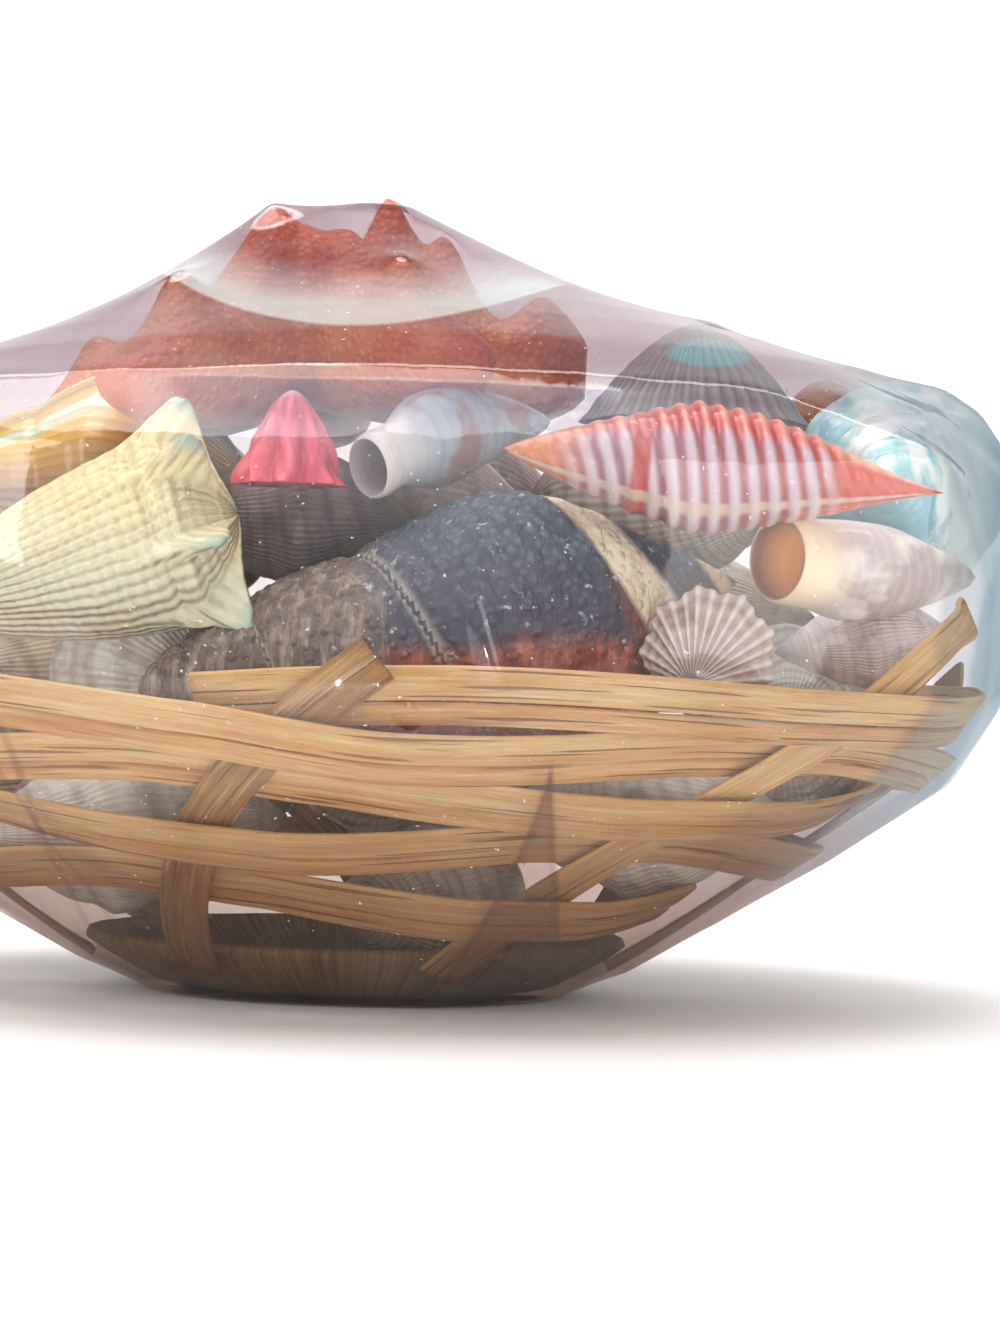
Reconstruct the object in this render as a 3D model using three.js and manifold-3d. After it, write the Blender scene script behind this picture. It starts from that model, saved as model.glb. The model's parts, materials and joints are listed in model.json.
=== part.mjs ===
// A small oval basket of woven flat reed, heaped with sea shells under a red sea star,
// and shrink-wrapped in clear film. Millimetres, Z up, front towards -Y.
import * as THREE from "three";
import Module from "manifold-3d";

const wasm = await Module();
wasm.setup();
const { Manifold, Mesh } = wasm;

// Driving dimensions
const rimHalfLength = 97;
const depthShare = 0.716;
const rimHeight = 49;
const stakeCount = 7;
const stakeWidth = 7.3;
const stakeThickness = 1.2;
const stakeLean = 0.76;
const firstStakeAngle = -11;
const leanHeight = 33;
const stakeFoot = 5.5;
const stakeRise = 2.5;
const freeEndRise = 11;
const upperReedWidth = 5;
const lowerReedWidth = 3.2;
const reedThickness = 1.2;
const reedGap = 0.45;
const clearance = 0.35;
const weaveClearance = 0.8;
const stationsPerStake = 5;
const baseHalfLength = 29.5;
const baseThickness = 1.3;
const baseLift = 0.7;
const dishHeight = 7;
const filmThickness = 0.34;
const filmClearance = 1.4;
const filmSides = 28;
const ventRadius = 3;
const leftSink = 6;
const heartHeight = 50;

// Half-length of the wall at each height, both as shares of the rim's; the foot follows the base
const footHalf = baseHalfLength / rimHalfLength;
const wallProfile = [
  [0.03, 1.118 * footHalf],
  [0.12, 1.414 * footHalf],
  [0.26, 0.537],
  [0.42, 0.65],
  [0.58, 0.773],
  [0.76, 0.9],
  [0.9, 0.97],
  [1.0, 1.0],
  [1.2, 1.045],
];

// Height of the woven band's middle at each angle in degrees along its four turns
const bandCourse = [
  [-12, 44.2],
  [0, 45.6],
  [20, 46.3],
  [52, 45.6],
  [80, 44.9],
  [180, 45.3],
  [300, 45.2],
  [330, 44.4],
  [348, 42.6],
  [356, 40.8],
  [363, 39.5],
  [377, 38.5],
  [412, 38.2],
  [440, 37.6],
  [540, 37.3],
  [660, 37.2],
  [690, 36.4],
  [705, 35.2],
  [716, 33.2],
  [728, 31.9],
  [752, 31.6],
  [773, 31.4],
  [800, 31],
  [900, 30.4],
  [1020, 29.7],
  [1050, 28.5],
  [1065, 26.6],
  [1083, 25.1],
  [1114, 24.6],
  [1140, 24],
  [1250, 22.6],
  [1390, 20.2],
  [1410, 18.8],
  [1425, 17.3],
  [1440, 16.4],
  [1480, 15.8],
  [1500, 15.8],
];

const degrees = Math.PI / 180;
const turn = 2 * Math.PI;

// A smooth curve through pairs of place and value
function along(pairs, place) {
  let i = 0;
  while (i < pairs.length - 2 && place > pairs[i + 1][0]) i += 1;
  const [x0, y0] = pairs[i];
  const [x1, y1] = pairs[i + 1];
  const before = pairs[Math.max(i - 1, 0)];
  const after = pairs[Math.min(i + 2, pairs.length - 1)];
  const wide = x1 - x0;
  const t = Math.min(Math.max((place - x0) / wide, 0), 1);
  const slope0 = ((y1 - before[1]) / (x1 - before[0])) * wide;
  const slope1 = ((after[1] - y0) / (after[0] - x0)) * wide;
  const t2 = t * t;
  const t3 = t2 * t;
  return (
    (2 * t3 - 3 * t2 + 1) * y0 +
    (t3 - 2 * t2 + t) * slope0 +
    (3 * t2 - 2 * t3) * y1 +
    (t3 - t2) * slope1
  );
}

// Smooth bell of height one
function bell(distance, width) {
  return Math.exp(-((distance / width) ** 2));
}

// A closed solid from points and triangles, turned to face out
function solid(points, faces) {
  const made = new Manifold(
    new Mesh({
      numProp: 3,
      vertProperties: new Float32Array(points.flat()),
      triVerts: new Uint32Array(faces.flat()),
    }),
  );
  if (made.volume() > 0) return made;
  return solid(
    points,
    faces.map(([a, b, c]) => [a, c, b]),
  );
}

// A closed skin from a first pole, rings of equal count, and a last pole
function skin(first, rings, last) {
  const sides = rings[0].length;
  const points = [first, ...rings.flat(), last];
  const faces = [];
  const lastPole = points.length - 1;
  for (let j = 0; j < sides; j += 1) {
    const k = (j + 1) % sides;
    faces.push([0, 1 + j, 1 + k]);
    for (let i = 0; i + 1 < rings.length; i += 1) {
      const a = 1 + i * sides;
      const b = a + sides;
      faces.push([a + j, b + j, b + k]);
      faces.push([a + j, b + k, a + k]);
    }
    const c = 1 + (rings.length - 1) * sides;
    faces.push([c + j, lastPole, c + k]);
  }
  return solid(points, faces);
}

// A flat strip swept through cross-sections of four corners
function strip(sections) {
  const points = sections.flat();
  const faces = [];
  for (let i = 0; i + 1 < sections.length; i += 1) {
    for (let j = 0; j < 4; j += 1) {
      const k = (j + 1) % 4;
      faces.push([4 * i + j, 4 * i + 4 + j, 4 * i + 4 + k]);
      faces.push([4 * i + j, 4 * i + 4 + k, 4 * i + k]);
    }
  }
  const end = 4 * (sections.length - 1);
  faces.push([0, 1, 2], [0, 2, 3]);
  faces.push([end, end + 2, end + 1], [end, end + 3, end + 2]);
  return solid(points, faces);
}

// Wall point at an angle in degrees and a height; angle 0 is the front, 90 the right end
function wallPoint(angle, height) {
  const half = rimHalfLength * along(wallProfile, height / rimHeight);
  return new THREE.Vector3(
    half * Math.sin(angle * degrees),
    -half * depthShare * Math.cos(angle * degrees),
    height,
  );
}

// The wall's way up and way out at a place
function wallFrame(angle, height) {
  const up = wallPoint(angle, height + 0.5).sub(wallPoint(angle, height - 0.5)).normalize();
  const round = wallPoint(angle + 0.5, height).sub(wallPoint(angle - 0.5, height)).normalize();
  const out = new THREE.Vector3().crossVectors(round, up).normalize();
  return { up, out };
}

// Middle of a stake at a height
function stakeAngle(index, height) {
  return firstStakeAngle + (360 / stakeCount) * index + stakeLean * (height - leanHeight);
}

const group = new THREE.Group();
const placed = new Map();

// Adds a named piece with its own finish
function addPiece(name, body, color, roughness) {
  const mesh = body.getMesh();
  const geometry = new THREE.BufferGeometry();
  const corners = new Float32Array(mesh.vertProperties);
  geometry.setAttribute("position", new THREE.BufferAttribute(corners, 3));
  geometry.setIndex(new THREE.BufferAttribute(new Uint32Array(mesh.triVerts), 1));
  geometry.computeVertexNormals();
  const material = new THREE.MeshStandardMaterial({ color, roughness, metalness: 0 });
  const piece = new THREE.Mesh(geometry, material);
  piece.name = name;
  group.add(piece);
  placed.set(name, body);
  return piece;
}

// Basket floor: a shallow oval dish of constant thickness
function basketBase() {
  const sides = 20;
  const shape = [
    [0.35, 0],
    [0.9, 0],
    [1.06, 0.12],
    [1.3, 0.66],
    [1.42, 1],
  ];
  const ring = (share, height, shrink) =>
    Array.from({ length: sides }, (_, j) => {
      const a = (turn * j) / sides;
      const half = baseHalfLength * share - shrink;
      return [half * Math.cos(a), half * depthShare * Math.sin(a), height];
    });
  const under = shape.map(([share, rise]) => ring(share, baseLift + rise * dishHeight, 0));
  const over = shape.map(([share, rise]) => ring(share, baseLift + baseThickness + rise * dishHeight, 0.5));
  return skin([0, 0, baseLift], [...under, ...over.reverse()], [0, 0, baseLift + baseThickness]);
}

// A stake follows the wall, leaning right as it rises; its free end stands on past the rim
function stake(index, top) {
  const steps = 9;
  const sections = [];
  for (let i = 0; i <= steps; i += 1) {
    const height = stakeFoot + ((top - stakeFoot) * i) / steps;
    const here = wallPoint(stakeAngle(index, height), height);
    const next = wallPoint(stakeAngle(index, height + 0.5), height + 0.5);
    const { out } = wallFrame(stakeAngle(index, height), height);
    const run = next.sub(here).normalize();
    const across = new THREE.Vector3().crossVectors(run, out).normalize();
    const w = stakeWidth / 2;
    const t = stakeThickness / 2;
    sections.push(
      [[-w, -t], [w, -t], [w, t], [-w, t]].map(([x, y]) =>
        here.clone().addScaledVector(across, x).addScaledVector(out, y).toArray(),
      ),
    );
  }
  return strip(sections);
}

// How far out of the wall's middle the band lies: over one stake, under the next
function bandOffset(angle, height) {
  const count = (angle - stakeAngle(0, height)) / (360 / stakeCount);
  const swing = -Math.cos(Math.PI * count) * 1.25;
  const reach = (stakeThickness + reedThickness) / 2 + weaveClearance;
  return reach * Math.min(Math.max(swing, -1), 1);
}

// One reed of the woven band, its middle shifted up the wall by a distance
function weaver(width, shift) {
  const from = bandCourse[0][0];
  const to = bandCourse[bandCourse.length - 1][0];
  const steps = Math.round(((to - from) / 360) * stakeCount * stationsPerStake);
  const sections = [];
  for (let i = 0; i <= steps; i += 1) {
    const angle = from + ((to - from) * i) / steps;
    const height = along(bandCourse, angle);
    const { up, out } = wallFrame(angle, height);
    const here = wallPoint(angle, height)
      .addScaledVector(out, bandOffset(angle, height))
      .addScaledVector(up, shift);
    const w = width / 2;
    const t = reedThickness / 2;
    sections.push(
      [[-w, -t], [w, -t], [w, t], [-w, t]].map(([x, y]) =>
        here.clone().addScaledVector(up, x).addScaledVector(out, y).toArray(),
      ),
    );
  }
  return strip(sections);
}

const bandWidth = upperReedWidth + reedGap + lowerReedWidth;
addPiece("basket_base", basketBase(), 0xc79a63, 0.7);
for (let i = 0; i < stakeCount; i += 1) {
  const top = rimHeight + (i === 1 ? freeEndRise : stakeRise);
  addPiece("stake_" + (i + 1), stake(i, top), i === 0 ? 0xb9915f : 0xdcb47d, 0.65);
}
addPiece("weaver_upper", weaver(upperReedWidth, (bandWidth - upperReedWidth) / 2), 0xe3c08c, 0.6);
addPiece("weaver_lower", weaver(lowerReedWidth, (lowerReedWidth - bandWidth) / 2), 0xd7a569, 0.6);

// A coiled shell from its apex along +X to its canal
function coiled(s) {
  const rings = s.rings ?? 8;
  const sides = s.sides ?? 9;
  const points = [];
  for (let i = 1; i < rings; i += 1) {
    const u = (1 - Math.cos((Math.PI * i) / rings)) / 2;
    const ring = [];
    for (let j = 0; j < sides; j += 1) {
      const a = (turn * j) / sides;
      const r = coiledRadius(s, u, a);
      const x = s.length * u - (s.spineLean ?? 0) * spineBeat(s, u, a);
      ring.push([x, r * Math.cos(a), r * Math.sin(a)]);
    }
    points.push(ring);
  }
  return skin([0, 0, 0], points, [s.length, 0, 0]);
}

// Radius of a coiled shell at a share of its length and an angle round its axis
function coiledRadius(s, u, a) {
  const widest = s.widest ?? 0.45;
  const canal = s.canal ?? 0.12;
  const tail = Math.max((u - widest) / (1 - widest), 0);
  const rise = Math.min(u / widest, 1) ** (s.taper ?? 0.8);
  const slope = Math.cos((tail * Math.PI) / 2) ** (s.fall ?? 1);
  const fall = (1 - canal) * slope + canal * Math.sqrt(1 - tail * tail);
  let r = s.radius * (u < widest ? rise : fall);
  const pace = Math.log(s.pace ?? 1.7);
  const whorl = Math.log(Math.max(u, 0.01) / widest) / pace - a / turn;
  const part = whorl - Math.floor(whorl);
  const seam = whorl < 0.2 ? 1 : 0;
  r *= 1 - seam * (s.groove ?? 0.1) * (1 - Math.sin(Math.PI * part) ** 0.6);
  r *= 1 + (s.ribs ? (s.ribHeight ?? 0.05) * Math.cos(s.ribs * a) * Math.sin(Math.PI * u) : 0);
  const mouthSide = Math.cos((a - (s.mouthAt ?? 4.2)) / 2) ** 2 - 1;
  r *= 1 - (s.mouth ?? 0.2) * bell(mouthSide, 0.12) * bell(u - 0.72, 0.2);
  return r + (s.spineHeight ?? 0) * spineBeat(s, u, a);
}

// How far a spine stands out at a place, from 0 to 1: spines ring the widest place
function spineBeat(s, u, a) {
  if (!s.spines) return 0;
  return Math.max(Math.cos(s.spines * a), 0) ** 3 * bell(u - (s.widest ?? 0.45), 0.09);
}

// A ribbed cone or domed valve from its apex at the start of +X to its open side
function domed(s) {
  const rings = s.rings ?? 5;
  const sides = s.sides ?? 16;
  const lean = s.lean ?? 0;
  const ringAt = (share, depth) =>
    Array.from({ length: sides }, (_, j) => {
      const a = (turn * j) / sides;
      const rib = 1 + (s.ribHeight ?? 0) * Math.cos((s.ribs ?? 0) * a) * share;
      const r = s.radius * share * rib;
      return [depth, r * Math.cos(a) * (s.oval ?? 1) - lean * (1 - share) * s.radius, r * Math.sin(a)];
    });
  const outer = [];
  for (let i = 1; i <= rings; i += 1) {
    const u = i / rings;
    outer.push(ringAt(u ** (s.power ?? 0.7), s.height * u));
  }
  const inner = [0.8, 0.45].map((share) => ringAt(share * 0.94, s.height * (1 - 0.4 * (1 - share))));
  const hollow = [s.height * 0.74, -lean * 0.3 * s.radius, 0];
  return skin([0, -lean * s.radius, 0], [...outer, ...inner], hollow);
}

// A shell with an open round mouth at the start of +X and a closed tapering end
function mouthed(s) {
  const sides = s.sides ?? 12;
  const bend = s.bend ?? 0;
  const profile = [
    [0.3, 0.38],
    [0.12, 0.68],
    [0.02, 0.8],
    [0, 0.9],
    [0.04, 1],
    [0.16, 0.98],
    [0.32, s.belly ?? 1.1],
    [0.5, (s.belly ?? 1.1) * 0.92],
    [0.68, (s.belly ?? 1.1) * 0.7],
    [0.84, (s.belly ?? 1.1) * 0.42],
    [0.95, (s.belly ?? 1.1) * 0.2],
  ];
  const middle = (u) => bend * s.length * Math.sin(Math.PI * u);
  const rings = profile.map(([u, share]) =>
    Array.from({ length: sides }, (_, j) => {
      const a = (turn * j) / sides;
      const r = s.radius * share * (1 + (s.flare ?? 0) * Math.cos(a - 1) * bell(u, 0.2));
      return [s.length * u, r * Math.cos(a) * (s.oval ?? 1), r * Math.sin(a) + middle(u)];
    }),
  );
  return skin([s.length * 0.38, 0, middle(0.38)], rings, [s.length, 0, middle(1)]);
}

// The star's upper and under side at a distance and direction from its middle
function star(s) {
  const sides = 30;
  const shares = [0.13, 0.27, 0.41, 0.55, 0.69, 0.83, 0.94, 1];
  const ring = (share, side) =>
    Array.from({ length: sides }, (_, j) => {
      const a = (turn * j) / sides;
      const wave = Math.abs(Math.cos(2.5 * (a - s.turn * degrees)));
      const reach = s.inner + (s.outer - s.inner) * wave ** 2.4;
      const r = share * reach;
      const x = r * Math.cos(a);
      const y = r * Math.sin(a);
      const edge = Math.sqrt(Math.max(1 - share * share, 0));
      let z = s.droop * ((1 - Math.min(r / s.outer, 1)) ** 1.6 - 1);
      if (side > 0) {
        z += s.thickness * edge * (1 - 0.45 * (r / s.outer));
        for (const [kx, ky, kh, kw] of s.knobs) z += kh * bell(Math.hypot(x - kx, y - ky), kw);
      } else {
        z -= s.under * edge;
      }
      return [x, y, z];
    });
  const top = shares.map((share) => ring(share, 1));
  const below = [0.8, 0.4].map((share) => ring(share, -1));
  let peak = s.thickness;
  for (const [kx, ky, kh, kw] of s.knobs) peak += kh * bell(Math.hypot(kx, ky), kw);
  return skin([0, 0, peak], [...top, ...below], [0, 0, -s.under]);
}

// Turns a body that runs along +X to a heading and a climb, spun about its own axis
function aimed(body, middle, heading, climb, spin) {
  const turned = new THREE.Matrix4()
    .makeRotationZ(heading * degrees)
    .multiply(new THREE.Matrix4().makeRotationY(-climb * degrees))
    .multiply(new THREE.Matrix4().makeRotationX(spin * degrees))
    .multiply(new THREE.Matrix4().makeTranslation(-middle, 0, 0));
  return body.transform(turned.elements);
}

// True if a body stands clear of every placed piece
function standsClear(body) {
  const box = body.boundingBox();
  for (const other of placed.values()) {
    const far = other.boundingBox();
    const apart = [0, 1, 2].some(
      (k) => box.min[k] - far.max[k] > clearance || far.min[k] - box.max[k] > clearance,
    );
    if (!apart && body.minGap(other, clearance + 0.05) < clearance) return false;
  }
  return true;
}

// Moves a body along a way until it comes up against the pieces already placed
function settled(name, body, start, way, reach) {
  const at = (t) => body.translate(start.map((v, k) => v + way[k] * t));
  let t = 0;
  while (t <= reach && !standsClear(at(t))) t += 0.75;
  if (t > reach) throw new Error(name + " finds no free place");
  while (t + 0.75 <= reach && standsClear(at(t + 0.75))) t += 0.75;
  let step = 0.375;
  while (step > 0.02) {
    if (t + step <= reach && standsClear(at(t + step))) t += step;
    step /= 2;
  }
  return at(t);
}

const down = [0, 0, -1];
const inward = [0, 1, 0];
const kinds = { coiled, domed, mouthed };

// Shapes of the shells that show most
const whelkShape = {
  length: 87,
  radius: 19,
  widest: 0.6,
  taper: 0.55,
  fall: 1.1,
  pace: 2.2,
  groove: 0.16,
  rings: 15,
  sides: 14,
};
const creamShape = {
  length: 48,
  radius: 13.5,
  widest: 0.16,
  taper: 0.6,
  fall: 0.8,
  spines: 7,
  spineHeight: 5,
  spineLean: 5,
  sides: 21,
  rings: 10,
};
const turquoiseShape = { length: 48, radius: 17.5, canal: 0.3, rings: 10, sides: 12 };
const spindleShape = { length: 62, radius: 9.2, widest: 0.42, fall: 1.4, canal: 0.06, rings: 14 };
const pinkShape = { height: 13.5, radius: 7.2, ribs: 8, ribHeight: 0.12, power: 0.55 };
const stripedShape = { length: 56, radius: 18.7, widest: 0.6, canal: 0.62, sides: 12 };
const fanShape = {
  height: 6,
  radius: 10.5,
  ribs: 9,
  ribHeight: 0.05,
  power: 0.5,
  lean: 0.5,
  sides: 18,
  rings: 4,
};
const orangeShape = { length: 38, radius: 6.6, flare: 0.25 };
const domeShape = { height: 16, radius: 17.5, ribs: 8, ribHeight: 0.03, power: 0.6 };

// Middles of shells that keep one end where a neighbour lies: the cream shell's tip stays beside
// the pink shell, and the fan follows the whelk's right end
function ahead(from, heading, climb, distance) {
  const flat = Math.cos(climb * degrees) * distance;
  return [
    from[0] + flat * Math.cos(heading * degrees),
    from[1] + flat * Math.sin(heading * degrees),
    from[2] + distance * Math.sin(climb * degrees),
  ];
}
const creamTip = [-16.2, -46.4, 71.4];
const creamHeading = 184;
const creamClimb = -18;
const creamMiddle = ahead(creamTip, creamHeading, creamClimb, creamShape.length / 2);
const whelkMiddle = [13, -46, 55];
const fanFront = whelkMiddle[1] - 0.58 * whelkShape.radius;
const fanMiddle = ahead([whelkMiddle[0], fanFront, 53.5], 0, 0, 0.43 * whelkShape.length);

// Shells in the order in which they were laid: name, kind, shape, starting place of the middle,
// heading, climb and spin in degrees, way and reach of the settling, colour
const shells = [
  [
    "under_left_front", "coiled", { length: 50, radius: 13.5 },
    [-34, -17, 60], 20, 4, 0, down, 60, 0xe9e6dc,
  ],
  [
    "under_left_back", "coiled", { length: 48, radius: 13, widest: 0.6 },
    [-34, 17, 60], 170, 0, 40, down, 60, 0xd9cbb4,
  ],
  [
    "under_middle", "coiled", { length: 46, radius: 14, widest: 0.55 },
    [11, -2, 60], 55, 0, 0, down, 60, 0xcfc0b2,
  ],
  [
    "under_right_front", "coiled", { length: 46, radius: 13, widest: 0.5 },
    [42, -16, 60], -20, 4, 90, down, 60, 0xeceae2,
  ],
  [
    "under_right_back", "coiled", { length: 46, radius: 13, widest: 0.55 },
    [40, 18, 60], 15, 4, 20, down, 60, 0xd8c6ac,
  ],
  [
    "inner_left_end", "coiled", { length: 44, radius: 13.5, widest: 0.5 },
    [-66, -4, 75], 80, 0, 10, down, 60, 0xcdb89a,
  ],
  [
    "inner_left", "coiled", { length: 46, radius: 16, widest: 0.5 },
    [-32, -2, 75], -60, 0, 30, down, 60, 0xd8d2c6,
  ],
  [
    "inner_middle", "coiled", { length: 52, radius: 15.5, widest: 0.5 },
    [2, 0, 75], 100, 0, 60, down, 60, 0xc9bdb0,
  ],
  [
    "inner_right", "coiled", { length: 46, radius: 14, widest: 0.5 },
    [34, 3, 75], 70, 0, 0, down, 60, 0xdcd2c2,
  ],
  [
    "inner_right_end", "coiled", { length: 46, radius: 15.5, widest: 0.5 },
    [66, 0, 78], 85, 0, 0, down, 60, 0xcfc7bb,
  ],
  [
    "back_left", "coiled", { length: 54, radius: 15, widest: 0.45 },
    [-46, 36, 90], 200, 3, 0, down, 60, 0xc8b08a,
  ],
  [
    "back_middle", "coiled", { length: 56, radius: 15, widest: 0.5 },
    [0, 44, 90], 185, 0, 80, down, 60, 0xb9a79a,
  ],
  [
    "back_right", "coiled", { length: 54, radius: 15, widest: 0.45 },
    [48, 36, 90], -20, 4, 0, down, 60, 0xd6c7b2,
  ],
  ["banded_whelk", "coiled", whelkShape, whelkMiddle, 9, 12, -60, inward, 5, 0x5f646e],
  ["cream_shell", "coiled", creamShape, creamMiddle, creamHeading, creamClimb, 90, inward, 14, 0xe6e0c2],
  [
    "dark_shell", "coiled", { length: 38, radius: 9, widest: 0.5 },
    [-10, -26, 100], 10, 0, 0, down, 60, 0x6e6663,
  ],
  [
    "striped_shell", "coiled", stripedShape,
    [-45, -7, 110], -4, 0, 0, down, 60, 0xb8924e,
  ],
  [
    "inner_top", "coiled", { length: 48, radius: 18, widest: 0.5 },
    [6, 1, 110], 0, 0, 0, down, 60, 0xc4b6a6,
  ],
  [
    "inner_top_right", "coiled", { length: 46, radius: 16.5, widest: 0.5 },
    [44, 6, 110], 150, 0, 0, down, 60, 0xbfb4a8,
  ],
  ["pink_shell", "domed", pinkShape, [-9, -44, 82.5], 0, -90, 0, inward, 30, 0xe2667a],
  [
    "mottled_shell", "coiled", { length: 27, radius: 7.6, widest: 0.5 },
    [75, -37, 56], 8, 8, 0, inward, 14, 0xdccbc8,
  ],
  ["fan_shell", "domed", fanShape, fanMiddle, 90, 0, 120, inward, 20, 0xcdb6a4],
  [
    "orange_mouth_shell", "mouthed", orangeShape,
    [76.2, -36, 66], 35, 0, 0, inward, 14, 0xbfa79c,
  ],
  [
    "right_end_small", "coiled", { length: 36, radius: 5, widest: 0.5 },
    [78, 2, 90], 84, 0, 0, down, 60, 0xc9b9a6,
  ],
  ["turquoise_shell", "coiled", turquoiseShape, [82, 0, 110], 82, 0, 0, down, 60, 0x9fc9cc],
  ["spindle_shell", "coiled", spindleShape, [52, -48, 110], 3, -4, 0, down, 60, 0xc46a5c],
  [
    "curled_shell", "mouthed", { length: 35, radius: 4.8, belly: 1.45, bend: 0.06 },
    [15, -46, 83], 40, 15, 0, inward, 14, 0xb8b0ae,
  ],
  ["dome_shell", "domed", domeShape, [51, 3, 130], 0, -90, 0, down, 60, 0x8f8a8c],
  [
    "brown_shell", "coiled", { length: 28, radius: 6, widest: 0.5 },
    [73, 21, 120], 60, 6, 0, down, 60, 0xa8693f,
  ],
  [
    "left_end_small", "coiled", { length: 38, radius: 7, widest: 0.5 },
    [-78, 4, 90], 95, 0, 0, down, 60, 0xbfb09c,
  ],
  [
    "left_end_upper", "coiled", { length: 42, radius: 10.5, widest: 0.5 },
    [-76, 5, 110], 98, 0, 0, down, 60, 0xd3c4a8,
  ],
  [
    "back_upper_left", "coiled", { length: 50, radius: 18, widest: 0.5 },
    [-36, 33, 110], 165, 0, 0, down, 70, 0xcbb79c,
  ],
  [
    "back_upper_right", "coiled", { length: 48, radius: 14.5, widest: 0.5 },
    [10, 34, 110], 10, 0, 0, down, 70, 0xbda893,
  ],
];

for (const [name, kind, shape, place, heading, climb, spin, way, reach, color] of shells) {
  const body = aimed(kinds[kind](shape), (shape.length ?? shape.height) / 2, heading, climb, spin);
  addPiece(name, settled(name, body, place, way, reach), color, 0.5);
}

const starShape = {
  inner: 16,
  outer: 46,
  turn: 162,
  thickness: 15.5,
  under: 4,
  droop: 9,
  knobs: [
    [-3.5, -9, 7.5, 6.8],
    [14, 4, 12.5, 4.6],
    [22.5, 7, 10.5, 4.2],
    [0, 14, 5, 5],
    [8, -12, 5, 5],
    [-21, 7, 7, 4.5],
    [-35, 11, 5, 4],
    [37.5, 9, 8, 5.5],
    [43, 14, 5, 5],
    [16, -24, 6, 4.5],
    [-17, -25, 6, 4.5],
    [0, 28, 6, 4.5],
  ],
};
const starMiddle = [-10, 0, 130];
const starTilt = 4.5;
const starBody = aimed(star(starShape), 0, 0, starTilt, 0);
addPiece("sea_star", settled("sea_star", starBody, starMiddle, down, 70), 0xb9604f, 0.6);

// The film's resting shape before it shrinks: half-length and height of each row, from the base up.
// Its shoulder sinks towards the left end, where the heap is lower
const filmRows = [
  [31.8, 0],
  [43, 4.6],
  [57, 12.5],
  [72, 23],
  [88, 34.8],
  [98, 47],
  [101.5, 63],
  [99.5, 80],
  [92, 92],
  [75, 98],
  [60, 101.5],
  [47, 104.5],
  [36.5, 107.5],
  [27.5, 111.5],
  [20, 115.5],
  [13, 118.5],
  [6, 119.8],
];

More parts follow.
